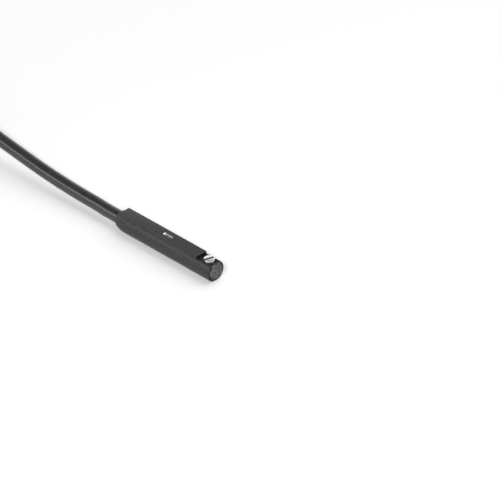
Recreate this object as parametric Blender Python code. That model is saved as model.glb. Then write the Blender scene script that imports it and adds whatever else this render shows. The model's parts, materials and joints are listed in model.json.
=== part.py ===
"""Cylinder position sensor for a round slot, with a short lead and a screw plug.

Metres, +Z up. The sensor lies along X with its clamp screw at the +X end, and the origin is under
the middle of its housing, on the surface that it lies on. Heights named ..._HEIGHT are measured
from the housing's axis. The lead leaves the rear, is folded into a hank and ends in a plug.
"""
import math

import bmesh
import bpy
from mathutils import Vector

# Clearances
FIT = 0.00005
SEAT_GAP = 0.0001
MESH_GAP = 0.0003
OVERSHOOT = 0.001

# Housing: a thin round shell with a flat-topped neck that fills the slot's mouth
BODY_LENGTH = 0.024
BODY_RADIUS = 0.002
SHELL_WALL = 0.0003
NECK_WIDTH = 0.0026
NECK_HEIGHT = 0.00203
NECK_SETBACK = 0.0008
NECK_EDGE = 0.00006
NOSE_LENGTH = 0.0022
RIM_RADIUS = 0.00155
CAVITY_SETBACK = 0.0022
CABLE_BORE_RADIUS = 0.00142
FRONT_EDGE = 0.0002

# Clamp seat at the front of the housing, the block in it and the clamp screw
SEAT_LENGTH = 0.00365
SLOT_WIDTH = 0.0022
ROOF_THICKNESS = 0.00015
UNDERCUT_LENGTH = 0.0006
BLOCK_LENGTH = 0.0052
BLOCK_HEIGHT = 0.0014
LIP_THICKNESS = 0.00035
TONGUE_HEIGHT = 0.0011
TONGUE_GAP = 0.0004
SCREW_RADIUS = 0.001
SCREW_LENGTH = 0.0039
SCREW_SETBACK = 0.00165
SCREW_TOP_HEIGHT = 0.00205
SCREW_CHAMFER = 0.00014
SCREW_SLOT_WIDTH = 0.0004
SCREW_SLOT_DEPTH = 0.00075
SCREW_SLOT_TURN = math.radians(72)

# Circuit board and what is soldered on it
BOARD_THICKNESS = 0.0004
BOARD_TOP_HEIGHT = -0.00015
BOARD_CORNER = 0.0002
CHIP_LENGTH = 0.0017
CHIP_WIDTH = 0.00115
CHIP_THICKNESS = 0.0006
CHIP_EDGE = 0.0001
LEG_WIDTH = 0.0002
LEG_PITCH = 0.0006
LEG_REACH = 0.0004
LEG_THICKNESS = 0.0001
LEGS_A_SIDE = 3
PASSIVE_LENGTH = 0.001
PASSIVE_WIDTH = 0.0005
PASSIVE_THICKNESS = 0.00035
LED_LENGTH = 0.001
LED_WIDTH = 0.0005
LED_BASE = 0.00015
LED_THICKNESS = 0.0004
PASSIVE_PAIR_SPREAD = 0.0013
JOINT_SPREAD = 0.0011
JOINT_RADIUS = 0.0003
JOINT_HEIGHT = 0.0003

# Places along the board, as shares of its length from the rear
JOINT_SHARE = 0.08
PASSIVE_PAIR_SHARE = 0.16
OUTPUT_CHIP_SHARE = 0.295
LED_SHARE = 0.45
RESISTOR_SHARE = 0.58
SENSING_CHIP_SHARE = 0.78

# Indicator window in the neck
WINDOW_RADIUS = 0.00027
WINDOW_COLLAR_RADIUS = 0.00045

# Lead
CABLE_DIAMETER = 0.0025
CORE_DIAMETER = 0.0007
CORE_CIRCLE_RADIUS = 0.0005
CABLE_INNER_END = 0.0035
CORE_REACH = 0.0016
SEAL_LENGTH = 0.0012
SEAL_BORE_GAP = 0.00005

# The lead's way from inside the housing, straight out and then up onto the hank: x, y, z
LEAD_ROUTE = (
    (-0.0085, 0.0000, 0.0020),
    (-0.0100, 0.0000, 0.0020),
    (-0.0120, 0.0000, 0.0020),
    (-0.0140, 0.0000, 0.00201),
    (-0.0160, 0.0000, 0.00204),
    (-0.0185, 0.00008, 0.0021),
    (-0.0215, 0.0000, 0.00222),
    (-0.0262, -0.00006, 0.00248),
    (-0.0325, -0.00008, 0.0030),
    (-0.0391, 0.0000, 0.00376),
    (-0.0440, 0.0000, 0.00446),
    (-0.0485, 0.0000, 0.00525),
)
LEAD_END_HEIGHT = 0.00605

# Hank of the lead, lying in line with the housing, and its tie
HANK_NEAR_X = -0.0615
HANK_Y = 0.0
HANK_RUN = 0.025
HANK_END_RADIUS = 0.0076
HANK_LANE = 0.00135
HANK_APPROACH = 0.0008
HANK_LAYERS = 3
HANK_MARGIN = 0.0001
HANK_EDGE = 0.0007
TIE_WIDTH = 0.004
TIE_THICKNESS = 0.0005
TIE_CORNER = 0.001
TIE_HEAD_LENGTH = 0.0046
TIE_HEAD_WIDTH = 0.0052
TIE_HEAD_HEIGHT = 0.001
TIE_HEAD_EDGE = 0.0002
TIE_STUB = 0.0009

# Plug: a moulded grip, a coupling screw that turns on it, a contact carrier and three pins
PLUG_GAP = 0.0125
PLUG_SHIFT = 0.0036
PLUG_AXIS_HEIGHT = 0.00495
SOCKET_DEPTH = 0.002
SOCKET_GAP = 0.0001
RELIEF_LENGTH = 0.0085
RELIEF_REAR_RADIUS = 0.0021
RELIEF_FRONT_RADIUS = 0.0031
RELIEF_RIBS = 5
RELIEF_GROOVE = 0.0004
GRIP_LENGTH = 0.0115
GRIP_REAR_RADIUS = 0.0038
GRIP_FRONT_RADIUS = 0.0043
GRIP_FLUTES = 8
GRIP_FLUTE_DEPTH = 0.0005
GRIP_FLANGE = 0.0012
CARRIER_SEAT_DEPTH = 0.0015
CARRIER_RADIUS = 0.00325
CARRIER_LENGTH = 0.0130
CARRIER_CUP_DEPTH = 0.006
CARRIER_WALL = 0.0005
CARRIER_KEY_WIDTH = 0.0008
CARRIER_KEY_HEIGHT = 0.0004
SNAP_RING_RADIUS = 0.0036
SNAP_RING_START = 0.0038
SNAP_RING_LENGTH = 0.0008
COUPLING_GAP = 0.0003
COUPLING_CLEARANCE = 0.0001
COUPLING_RING_LENGTH = 0.005
COUPLING_RING_RADIUS = 0.0049
COUPLING_KNURLS = 24
COUPLING_KNURL_DEPTH = 0.00035
COUPLING_EDGE = 0.0004
COUPLING_NECK_LENGTH = 0.0009
COUPLING_NECK_RADIUS = 0.0037
COUPLING_THREAD_RADIUS = 0.004
COUPLING_THREAD_LENGTH = 0.0058
PIN_RADIUS = 0.0005
PIN_CIRCLE_RADIUS = 0.00135
PIN_LENGTH = 0.0054
PIN_ROOT = 0.003
PIN_ANGLES = {"contact_pin_1": 150, "contact_pin_3": 30, "contact_pin_4": 270}

# Worked out from the sizes above
FRONT = BODY_LENGTH / 2
REAR = -BODY_LENGTH / 2
AXIS_Z = BODY_RADIUS
CAVITY_RADIUS = BODY_RADIUS - SHELL_WALL
CAVITY_REAR = REAR + CAVITY_SETBACK
SEAT_REAR = FRONT - SEAT_LENGTH
SEAT_HEIGHT = math.sqrt(BODY_RADIUS ** 2 - (NECK_WIDTH / 2) ** 2)
BLOCK_RADIUS = CAVITY_RADIUS - SEAT_GAP
BLOCK_REAR = FRONT - BLOCK_LENGTH
SCREW_X = FRONT - SCREW_SETBACK
SCREW_HOLE_RADIUS = SCREW_RADIUS + FIT
BOARD_REAR = REAR + CABLE_INNER_END + CORE_REACH
BOARD_LENGTH = BLOCK_REAR - SEAT_GAP - BOARD_REAR
BOARD_BOTTOM = BOARD_TOP_HEIGHT - BOARD_THICKNESS
JOINT_X = BOARD_REAR + BOARD_LENGTH * JOINT_SHARE
WINDOW_X = BOARD_REAR + BOARD_LENGTH * LED_SHARE
CABLE_RADIUS = CABLE_DIAMETER / 2
HANK_FAR_X = HANK_NEAR_X - HANK_RUN
HANK_REACH = HANK_END_RADIUS + CABLE_RADIUS + HANK_MARGIN
HANK_HEIGHT = HANK_LAYERS * CABLE_DIAMETER + TIE_THICKNESS + 2 * HANK_MARGIN
PLUG_X = HANK_FAR_X - HANK_REACH - PLUG_GAP
PLUG_Y = HANK_Y + PLUG_SHIFT
GRIP_END = RELIEF_LENGTH + GRIP_LENGTH
CARRIER_START = GRIP_END - CARRIER_SEAT_DEPTH + SEAT_GAP
COUPLING_START = GRIP_END + COUPLING_GAP


def make_material(name, colour, roughness, metallic=0.0):
    """A plain Principled finish."""
    material = bpy.data.materials.new(name)
    material.use_nodes = True
    shader = material.node_tree.nodes["Principled BSDF"]
    shader.inputs["Base Color"].default_value = (*colour, 1.0)
    shader.inputs["Roughness"].default_value = roughness
    shader.inputs["Metallic"].default_value = metallic
    return material


def add_empty(name, location, turn=0.0):
    """An empty that carries the pieces of one assembly."""
    empty = bpy.data.objects.new(name, None)
    empty.location = location
    empty.rotation_euler = (0, 0, turn)
    empty.empty_display_size = BODY_RADIUS
    bpy.context.scene.collection.objects.link(empty)
    return empty


def add_piece(name, bm, material, parent=None, location=(0, 0, 0), rotation=(0, 0, 0)):
    """Turns a bmesh into a named object, shaded smooth apart from its edges."""
    bmesh.ops.recalc_face_normals(bm, faces=bm.faces)
    mesh = bpy.data.meshes.new(name)
    bm.to_mesh(mesh)
    bm.free()
    mesh.shade_smooth()
    mesh.set_sharp_from_angle(angle=math.radians(35))
    mesh.materials.append(material)
    piece = bpy.data.objects.new(name, mesh)
    piece.location = location
    piece.rotation_euler = rotation
    piece.parent = parent
    bpy.context.scene.collection.objects.link(piece)
    return piece


def combine(piece, tool, operation):
    """Cuts a tool from a piece, or joins it on, and leaves the tool as a wire guide."""
    tool.hide_render = True
    tool.display_type = "WIRE"
    modifier = piece.modifiers.new(tool.name, "BOOLEAN")
    modifier.operation = operation
    modifier.solver = "EXACT"
    modifier.object = tool


def lathe(profile, segments=48, closed=False, ridges=0):
    """Turns a profile of (x, radius) or (x, radius, ridge depth) about X."""
    bm = bmesh.new()
    rings = []
    for x, radius, *depth in profile:
        if radius == 0:
            rings.append([bm.verts.new((x, 0, 0))])
            continue
        ring = []
        for step in range(segments):
            angle = math.tau * step / segments
            sink = (depth[0] if depth else 0) * (0.5 - 0.5 * math.cos(ridges * angle))
            reach = radius - sink
            ring.append(bm.verts.new((x, reach * math.cos(angle), reach * math.sin(angle))))
        rings.append(ring)
    followers = rings[1:] + rings[:1] if closed else rings[1:]
    for ring, follower in zip(rings, followers):
        for step in range(segments):
            after = (step + 1) % segments
            corners = [ring[step % len(ring)], ring[after % len(ring)]]
            corners += [follower[after % len(follower)], follower[step % len(follower)]]
            bm.faces.new(list(dict.fromkeys(corners)))
    return bm


def box(low, high, edge=0.0):
    """A box between two corners, with an optional edge break all round."""
    bm = bmesh.new()
    bmesh.ops.create_cube(bm, size=1)
    low, high = Vector(low), Vector(high)
    bmesh.ops.scale(bm, vec=high - low, verts=bm.verts)
    bmesh.ops.translate(bm, vec=(low + high) / 2, verts=bm.verts)
    if edge:
        bmesh.ops.bevel(bm, geom=bm.edges, offset=edge, segments=1, affect="EDGES", profile=0.5)
    return bm


def prism(outline, start, end):
    """An outline of (y, z) points, extruded along X."""
    bm = bmesh.new()
    face = bm.faces.new([bm.verts.new((start, y, z)) for y, z in outline])
    grown = bmesh.ops.extrude_face_region(bm, geom=[face])
    moved = [item for item in grown["geom"] if isinstance(item, bmesh.types.BMVert)]
    bmesh.ops.translate(bm, vec=(end - start, 0, 0), verts=moved)
    return bm


def arc(radius, start, end, steps, centre=(0, 0)):
    """Points of an arc, with its angles in degrees."""
    points = []
    for step in range(steps + 1):
        angle = math.radians(start + (end - start) * step / steps)
        points.append((centre[0] + radius * math.cos(angle), centre[1] + radius * math.sin(angle)))
    return points


def smooth_curve(points, per_span):
    """A Catmull-Rom curve through the points, straight beyond its ends."""
    points = [Vector(point) for point in points]
    padded = [2 * points[0] - points[1]] + points + [2 * points[-1] - points[-2]]
    curve = []
    for before, start, end, after in zip(padded, padded[1:], padded[2:], padded[3:]):
        for step in range(per_span):
            t = step / per_span
            curve.append(0.5 * (2 * start + (end - before) * t
                                + (2 * before - 5 * start + 4 * end - after) * t ** 2
                                + (3 * start - before - 3 * end + after) * t ** 3))
    return curve + [points[-1]]


def evenly_spaced(points, spacing):
    """Reads points at an even spacing along a fine polyline, its ends kept."""
    lengths = [0.0]
    for first, second in zip(points, points[1:]):
        lengths.append(lengths[-1] + (second - first).length)
    count = max(2, round(lengths[-1] / spacing))
    chosen = []
    place = 0
    for step in range(count + 1):
        goal = lengths[-1] * step / count
        while place < len(points) - 2 and lengths[place + 1] < goal:
            place += 1
        part = (goal - lengths[place]) / (lengths[place + 1] - lengths[place])
        chosen.append(points[place].lerp(points[place + 1], part))
    return chosen


def add_tube(name, points, diameter, material, spacing, parent=None):
    """A round tube with filled ends along a smooth curve through the points."""
    places = evenly_spaced(smooth_curve(points, 12), spacing)
    curve = bpy.data.curves.new(name, "CURVE")
    curve.dimensions = "3D"
    curve.bevel_depth = diameter / 2
    curve.bevel_resolution = 2
    curve.render_resolution_u = 0
    curve.use_fill_caps = True
    spline = curve.splines.new("POLY")
    spline.points.add(len(places) - 1)
    for point, place in zip(spline.points, places):
        point.co = (*place, 1)
    curve.materials.append(material)
    tube = bpy.data.objects.new(name, curve)
    tube.parent = parent
    bpy.context.scene.collection.objects.link(tube)
    return tube


def nose_radius(distance):
    """The housing's radius at a distance from its rear rim, as a parabola up to the full round."""
    share = max(0.0, 1 - distance / NOSE_LENGTH)
    return BODY_RADIUS - (BODY_RADIUS - RIM_RADIUS) * share ** 2


def build_housing(axis, plastic):
    nose_steps = 8
    profile = [(REAR, 0)]
    for step in range(nose_steps + 1):
        distance = NOSE_LENGTH * step / nose_steps
        profile.append((REAR + distance, nose_radius(distance)))
    profile += [(FRONT - FRONT_EDGE, BODY_RADIUS), (FRONT, BODY_RADIUS - FRONT_EDGE), (FRONT, 0)]
    housing = add_piece("housing", lathe(profile, 64), plastic, axis)

    half_neck = NECK_WIDTH / 2
    neck_outline = [(-half_neck, 0), (half_neck, 0), (half_neck, NECK_HEIGHT - NECK_EDGE),
                    (half_neck - NECK_EDGE, NECK_HEIGHT), (NECK_EDGE - half_neck, NECK_HEIGHT),
                    (-half_neck, NECK_HEIGHT - NECK_EDGE)]
    neck = add_piece("neck_guide", prism(neck_outline, REAR + NECK_SETBACK, SEAT_REAR), plastic, axis)
    combine(housing, neck, "UNION")

    shoulder = CAVITY_RADIUS - CABLE_BORE_RADIUS
    hollow = [(REAR - OVERSHOOT, 0), (REAR - OVERSHOOT, CABLE_BORE_RADIUS),
              (CAVITY_REAR - shoulder, CABLE_BORE_RADIUS), (CAVITY_REAR, CAVITY_RADIUS),
              (FRONT + OVERSHOOT, CAVITY_RADIUS), (FRONT + OVERSHOOT, 0)]
    combine(housing, add_piece("hollow_cutter", lathe(hollow, 64), plastic, axis), "DIFFERENCE")

    half_slot = SLOT_WIDTH / 2
    slot = box((SEAT_REAR, -half_slot, 0), (FRONT + OVERSHOOT, half_slot, BODY_RADIUS + OVERSHOOT))
    combine(housing, add_piece("slot_cutter", slot, plastic, axis), "DIFFERENCE")
    undercut = box((SEAT_REAR - UNDERCUT_LENGTH, -half_slot, 0),
                   (SEAT_REAR + OVERSHOOT, half_slot, NECK_HEIGHT - ROOF_THICKNESS))
    combine(housing, add_piece("undercut_cutter", undercut, plastic, axis), "DIFFERENCE")
    chord = box((SEAT_REAR, -BODY_RADIUS, SEAT_HEIGHT),
                (FRONT + OVERSHOOT, BODY_RADIUS, BODY_RADIUS + OVERSHOOT))
    combine(housing, add_piece("chord_cutter", chord, plastic, axis), "DIFFERENCE")

    tip_hole = lathe([(-BODY_RADIUS - OVERSHOOT, 0), (-BODY_RADIUS - OVERSHOOT, SCREW_HOLE_RADIUS),
                      (0, SCREW_HOLE_RADIUS), (0, 0)], 40)
    cutter = add_piece("tip_hole_cutter", tip_hole, plastic, axis,
                       (SCREW_X, 0, 0), (0, -math.pi / 2, 0))
    combine(housing, cutter, "DIFFERENCE")

    window_hole = lathe([(0, 0), (0, WINDOW_RADIUS + FIT / 2),
                         (NECK_HEIGHT + OVERSHOOT, WINDOW_RADIUS + FIT / 2),
                         (NECK_HEIGHT + OVERSHOOT, 0)], 24)
    cutter = add_piece("window_cutter", window_hole, plastic, axis,
                       (WINDOW_X, 0, 0), (0, -math.pi / 2, 0))
    combine(housing, cutter, "DIFFERENCE")


def build_clamp(axis, plastic, steel):
    half_key = SLOT_WIDTH / 2 - SEAT_GAP
    shoulder = math.degrees(math.asin(math.sqrt(BLOCK_RADIUS ** 2 - half_key ** 2) / BLOCK_RADIUS))
    outline = [(-half_key, SEAT_HEIGHT), *arc(BLOCK_RADIUS, 180 - shoulder, 360 + shoulder, 36),
               (half_key, SEAT_HEIGHT)]
    block = add_piece("clamp_block", prism(outline, BLOCK_REAR, FRONT), plastic, axis)
    above = BODY_RADIUS + OVERSHOOT
    step = box((BLOCK_REAR - OVERSHOOT, -BODY_RADIUS, BLOCK_HEIGHT),
               (FRONT - LIP_THICKNESS, BODY_RADIUS, above))
    combine(block, add_piece("block_step_cutter", step, plastic, axis), "DIFFERENCE")
    tongue_end = SCREW_X - SCREW_HOLE_RADIUS - TONGUE_GAP
    tongue = box((BLOCK_REAR - OVERSHOOT, -BODY_RADIUS, TONGUE_HEIGHT),
                 (tongue_end, BODY_RADIUS, above))
    combine(block, add_piece("tongue_cutter", tongue, plastic, axis), "DIFFERENCE")
    hole = lathe([(-above, 0), (-above, SCREW_HOLE_RADIUS), (above, SCREW_HOLE_RADIUS), (above, 0)], 40)
    cutter = add_piece("screw_hole_cutter", hole, plastic, axis,
                       (SCREW_X, 0, 0), (0, -math.pi / 2, 0))
    combine(block, cutter, "DIFFERENCE")

    tip = SCREW_TOP_HEIGHT - SCREW_LENGTH
    profile = [(tip, 0), (tip, SCREW_RADIUS - SCREW_CHAMFER), (tip + SCREW_CHAMFER, SCREW_RADIUS),
               (SCREW_TOP_HEIGHT - SCREW_CHAMFER, SCREW_RADIUS),
               (SCREW_TOP_HEIGHT, SCREW_RADIUS - SCREW_CHAMFER), (SCREW_TOP_HEIGHT, 0)]
    screw = add_piece("clamp_screw", lathe(profile, 40), steel, axis,
                      (SCREW_X, 0, 0), (0, -math.pi / 2, 0))
    reach = SCREW_RADIUS + OVERSHOOT
    slot = box((-reach, -SCREW_SLOT_WIDTH / 2, SCREW_TOP_HEIGHT - SCREW_SLOT_DEPTH),
               (reach, SCREW_SLOT_WIDTH / 2, SCREW_TOP_HEIGHT + OVERSHOOT))
    cutter = add_piece("screw_slot_cutter", slot, steel, axis,
                       (SCREW_X, 0, 0), (0, 0, SCREW_SLOT_TURN))
    combine(screw, cutter, "DIFFERENCE")


def add_chip(name, x, axis, resin, metal):
    """A small moulded circuit with bent legs along both long sides."""
    foot = BOARD_TOP_HEIGHT + FIT
    floor = foot + LEG_THICKNESS
    body = box((x - CHIP_LENGTH / 2, -CHIP_WIDTH / 2, floor),
               (x + CHIP_LENGTH / 2, CHIP_WIDTH / 2, floor + CHIP_THICKNESS), CHIP_EDGE)
    chip = add_piece(name, body, resin, axis)
    middle = floor + CHIP_THICKNESS / 2
    half = CHIP_WIDTH / 2
    for side in (-1, 1):
        outline = [(half - LEG_REACH / 2, middle), (half + LEG_REACH / 2, middle),
                   (half + LEG_REACH / 2, floor), (half + LEG_REACH, floor),
                   (half + LEG_REACH, foot), (half + LEG_REACH / 2 - LEG_THICKNESS, foot),
                   (half + LEG_REACH / 2 - LEG_THICKNESS, middle - LEG_THICKNESS),
                   (half - LEG_REACH / 2, middle - LEG_THICKNESS)]
        for place in range(LEGS_A_SIDE):
            start = x + (place - (LEGS_A_SIDE - 1) / 2) * LEG_PITCH - LEG_WIDTH / 2
            leg = prism([(side * y, z) for y, z in outline], start, start + LEG_WIDTH)
            guide = add_piece(f"{name}_leg_{side * (place + 1)}", leg, metal, axis)
            combine(chip, guide, "UNION")


def add_passive(name, x, y, axis, material):
    """A chip resistor or capacitor, lying across the board."""
    foot = BOARD_TOP_HEIGHT + FIT
    block = box((x - PASSIVE_WIDTH / 2, y - PASSIVE_LENGTH / 2, foot),
                (x + PASSIVE_WIDTH / 2, y + PASSIVE_LENGTH / 2, foot + PASSIVE_THICKNESS), FIT)
    add_piece(name, block, material, axis)


def build_electronics(axis, materials):
    lowest = math.sqrt(CAVITY_RADIUS ** 2 - BOARD_BOTTOM ** 2)
    half_board = lowest - FIT
    board = box((BOARD_REAR, -half_board, BOARD_BOTTOM),
                (BOARD_REAR + BOARD_LENGTH, half_board, BOARD_TOP_HEIGHT))
    upright = [edge for edge in board.edges
               if abs(edge.verts[0].co.z - edge.verts[1].co.z) > BOARD_THICKNESS / 2]
    bmesh.ops.bevel(board, geom=upright, offset=BOARD_CORNER, segments=3, affect="EDGES", profile=0.5)
    add_piece("circuit_board", board, materials["board"], axis)

    resin, tin = materials["resin"], materials["tin"]
    add_chip("sensing_chip", BOARD_REAR + BOARD_LENGTH * SENSING_CHIP_SHARE, axis, resin, tin)
    add_chip("output_chip", BOARD_REAR + BOARD_LENGTH * OUTPUT_CHIP_SHARE, axis, resin, tin)
    add_passive("led_resistor", BOARD_REAR + BOARD_LENGTH * RESISTOR_SHARE, 0, axis, resin)
    pair_x = BOARD_REAR + BOARD_LENGTH * PASSIVE_PAIR_SHARE
    add_passive("input_resistor", pair_x, -PASSIVE_PAIR_SPREAD / 2, axis, resin)
    add_passive("filter_capacitor", pair_x, PASSIVE_PAIR_SPREAD / 2, axis, materials["ceramic"])

    foot = BOARD_TOP_HEIGHT + FIT
    led = add_piece("indicator_led", box((WINDOW_X - LED_LENGTH / 2, -LED_WIDTH / 2, foot),
                                         (WINDOW_X + LED_LENGTH / 2, LED_WIDTH / 2, foot + LED_BASE)),
                    materials["led"], axis)
    lens = box((WINDOW_X - LED_LENGTH / 4, -LED_WIDTH / 2 + FIT, foot + LED_BASE / 2),
               (WINDOW_X + LED_LENGTH / 4, LED_WIDTH / 2 - FIT, foot + LED_THICKNESS), FIT)
    combine(led, add_piece("led_lens_guide", lens, materials["led"], axis), "UNION")

    collar_top = math.sqrt(CAVITY_RADIUS ** 2 - WINDOW_COLLAR_RADIUS ** 2) - FIT
    start = foot + LED_THICKNESS + FIT
    profile = [(start, 0), (start, WINDOW_COLLAR_RADIUS), (collar_top, WINDOW_COLLAR_RADIUS),
               (collar_top, WINDOW_RADIUS), (NECK_HEIGHT, WINDOW_RADIUS), (NECK_HEIGHT, 0)]
    add_piece("indicator_window", lathe(profile, 24), materials["window"], axis,
              (WINDOW_X, 0, 0), (0, -math.pi / 2, 0))


def build_lead(axis, materials):
    cable_end = REAR + CABLE_INNER_END
    start = CAVITY_REAR + FIT
    inner = CABLE_RADIUS + SEAL_BORE_GAP
    outer = CAVITY_RADIUS - FIT
    ring = [(start, inner), (start, outer), (start + SEAL_LENGTH, outer), (start + SEAL_LENGTH, inner)]
    add_piece("rear_seal", lathe(ring, 48, closed=True), materials["seal"], axis)

    height = BOARD_TOP_HEIGHT + FIT + CORE_DIAMETER / 2
    places = {"brown": (30, 1), "blue": (150, -1), "black": (270, 0)}
    for colour, (angle, side) in places.items():
        y = CORE_CIRCLE_RADIUS * math.cos(math.radians(angle))
        z = -CORE_CIRCLE_RADIUS * math.sin(math.radians(angle))
        begin = cable_end + FIT
        end = JOINT_X - JOINT_RADIUS - FIT
        pad_y = side * JOINT_SPREAD
        route = [(begin, y, z), (begin + (end - begin) * 0.3, y + (pad_y - y) * 0.2, z + (height - z) * 0.5),
                 (BOARD_REAR - FIT, y + (pad_y - y) * 0.6, height), (end, pad_y, height)]
        add_tube(f"core_{colour}", route, CORE_DIAMETER, materials[colour], CORE_DIAMETER / 2, axis)
        dome = [(BOARD_TOP_HEIGHT + FIT, 0)]
        dome += [(BOARD_TOP_HEIGHT + FIT + JOINT_HEIGHT * rise, JOINT_RADIUS * reach)
                 for reach, rise in arc(1, 0, 90, 5)[:-1]]
        dome.append((BOARD_TOP_HEIGHT + FIT + JOINT_HEIGHT, 0))
        add_piece(f"solder_joint_{colour}", lathe(dome, 16), materials["tin"], axis,
                  (JOINT_X, pad_y, 0), (0, -math.pi / 2, 0))


def hank_half_width(along):
    """The hank's half width from its long axis, at a distance along it from its middle.

    Each run bends out from the tie and back over two equal arcs, up to the fold at its end.
    """
    spread = (HANK_END_RADIUS - HANK_LANE) / 2
    quarter = HANK_RUN / 4
    bend = (quarter ** 2 + spread ** 2) / (2 * spread)
    along = min(abs(along), HANK_RUN / 2)
    if along < quarter:
        lane = HANK_LANE + bend - math.sqrt(bend ** 2 - along ** 2)
    else:
        lane = HANK_END_RADIUS - bend + math.sqrt(bend ** 2 - (HANK_RUN / 2 - along) ** 2)
    return lane + CABLE_RADIUS + HANK_MARGIN


def build_cable(materials):
    jacket = materials["jacket"]
    route = [*LEAD_ROUTE, (HANK_NEAR_X + HANK_REACH + MESH_GAP, HANK_Y, LEAD_END_HEIGHT)]
    add_tube("cable_lead", route, CABLE_DIAMETER, jacket, CABLE_DIAMETER / 2)

    steps = 12
    middle_x = (HANK_NEAR_X + HANK_FAR_X) / 2
    side = []
    for step in range(1, steps):
        along = HANK_RUN * (0.5 - step / steps)
        side.append((middle_x + along, hank_half_width(along)))
    outline = arc(HANK_REACH, -90, 90, 16, (HANK_NEAR_X, 0)) + side
    outline += arc(HANK_REACH, 90, 270, 16, (HANK_FAR_X, 0))
    outline += [(x, -y) for x, y in reversed(side)]
    bm = bmesh.new()
    face = bm.faces.new([bm.verts.new((x, HANK_Y + y, 0)) for x, y in outline])
    grown = bmesh.ops.extrude_face_region(bm, geom=[face])
    moved = [item for item in grown["geom"] if isinstance(item, bmesh.types.BMVert)]
    bmesh.ops.translate(bm, vec=(0, 0, HANK_HEIGHT), verts=moved)
    rims = [edge for edge in bm.edges
            if abs(edge.verts[0].co.z - edge.verts[1].co.z) < HANK_EDGE]
    bmesh.ops.bevel(bm, geom=rims, offset=HANK_EDGE, segments=2, affect="EDGES", profile=0.5)
    hank = add_piece("cable_hank", bm, jacket)
    notch = TIE_WIDTH / 2 + MESH_GAP
    under = box((middle_x - notch, HANK_Y - HANK_REACH, -OVERSHOOT),
                (middle_x + notch, HANK_Y + HANK_REACH, TIE_THICKNESS + MESH_GAP))
    combine(hank, add_piece("tie_notch_cutter", under, jacket), "DIFFERENCE")

    half = hank_half_width(TIE_WIDTH / 2) + SEAT_GAP
    low = TIE_THICKNESS
    high = HANK_HEIGHT + SEAT_GAP
    tie = add_piece("cable_tie", rounded_sleeve(half + TIE_THICKNESS, low - TIE_THICKNESS,
                                                high + TIE_THICKNESS, TIE_CORNER, middle_x, 0),
                    materials["tie"])
    top = high + TIE_THICKNESS
    head = box((middle_x - TIE_HEAD_WIDTH / 2, HANK_Y - TIE_HEAD_LENGTH / 2, high + TIE_THICKNESS / 2),
               (middle_x + TIE_HEAD_WIDTH / 2, HANK_Y + TIE_HEAD_LENGTH / 2, top + TIE_HEAD_HEIGHT),
               TIE_HEAD_EDGE)
    combine(tie, add_piece("tie_head_guide", head, materials["tie"]), "UNION")
    stub = box((middle_x - TIE_WIDTH / 2, HANK_Y, top - TIE_THICKNESS / 2),
               (middle_x + TIE_WIDTH / 2, HANK_Y + TIE_HEAD_LENGTH / 2 + TIE_STUB, top + TIE_THICKNESS))
    combine(tie, add_piece("tie_stub_guide", stub, materials["tie"]), "UNION")
    hollow = rounded_sleeve(half, low, high, TIE_CORNER - TIE_THICKNESS, middle_x, OVERSHOOT)
    combine(tie, add_piece("tie_hollow_cutter", hollow, materials["tie"]), "DIFFERENCE")

    end_reach = HANK_END_RADIUS - HANK_APPROACH
    solid_edge = HANK_FAR_X - math.sqrt(HANK_REACH ** 2 - (end_reach - CABLE_RADIUS) ** 2)
    start = Vector((solid_edge - MESH_GAP, HANK_Y + end_reach, CABLE_RADIUS))
    mouth = Vector((PLUG_X + FIT, PLUG_Y, PLUG_AXIS_HEIGHT))
    tail = [start]
    for along, across, rise in ((0.2, 0.12, 0.01), (0.45, 0.45, 0.3), (0.7, 0.85, 0.8), (0.88, 1.0, 0.99)):
        tail.append(start + (mouth - start) * Vector((along, across, rise)))
    tail += [mouth, (PLUG_X - SOCKET_DEPTH + SOCKET_GAP, PLUG_Y, PLUG_AXIS_HEIGHT)]
    add_tube("cable_tail", tail, CABLE_DIAMETER, jacket, CABLE_DIAMETER / 2)


def rounded_sleeve(half, low, high, corner, middle_x, extra):
    """A rounded rectangle round the hank, extruded along X over the tie's width."""
    corners = ((half - corner, high - corner, 0), (corner - half, high - corner, 90),
               (corner - half, low + corner, 180), (half - corner, low + corner, 270))
    outline = []
    for y, z, start in corners:
        outline += arc(corner, start, start + 90, 5, (HANK_Y + y, z))
    return prism(outline, middle_x - TIE_WIDTH / 2 - extra, middle_x + TIE_WIDTH / 2 + extra)


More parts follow.
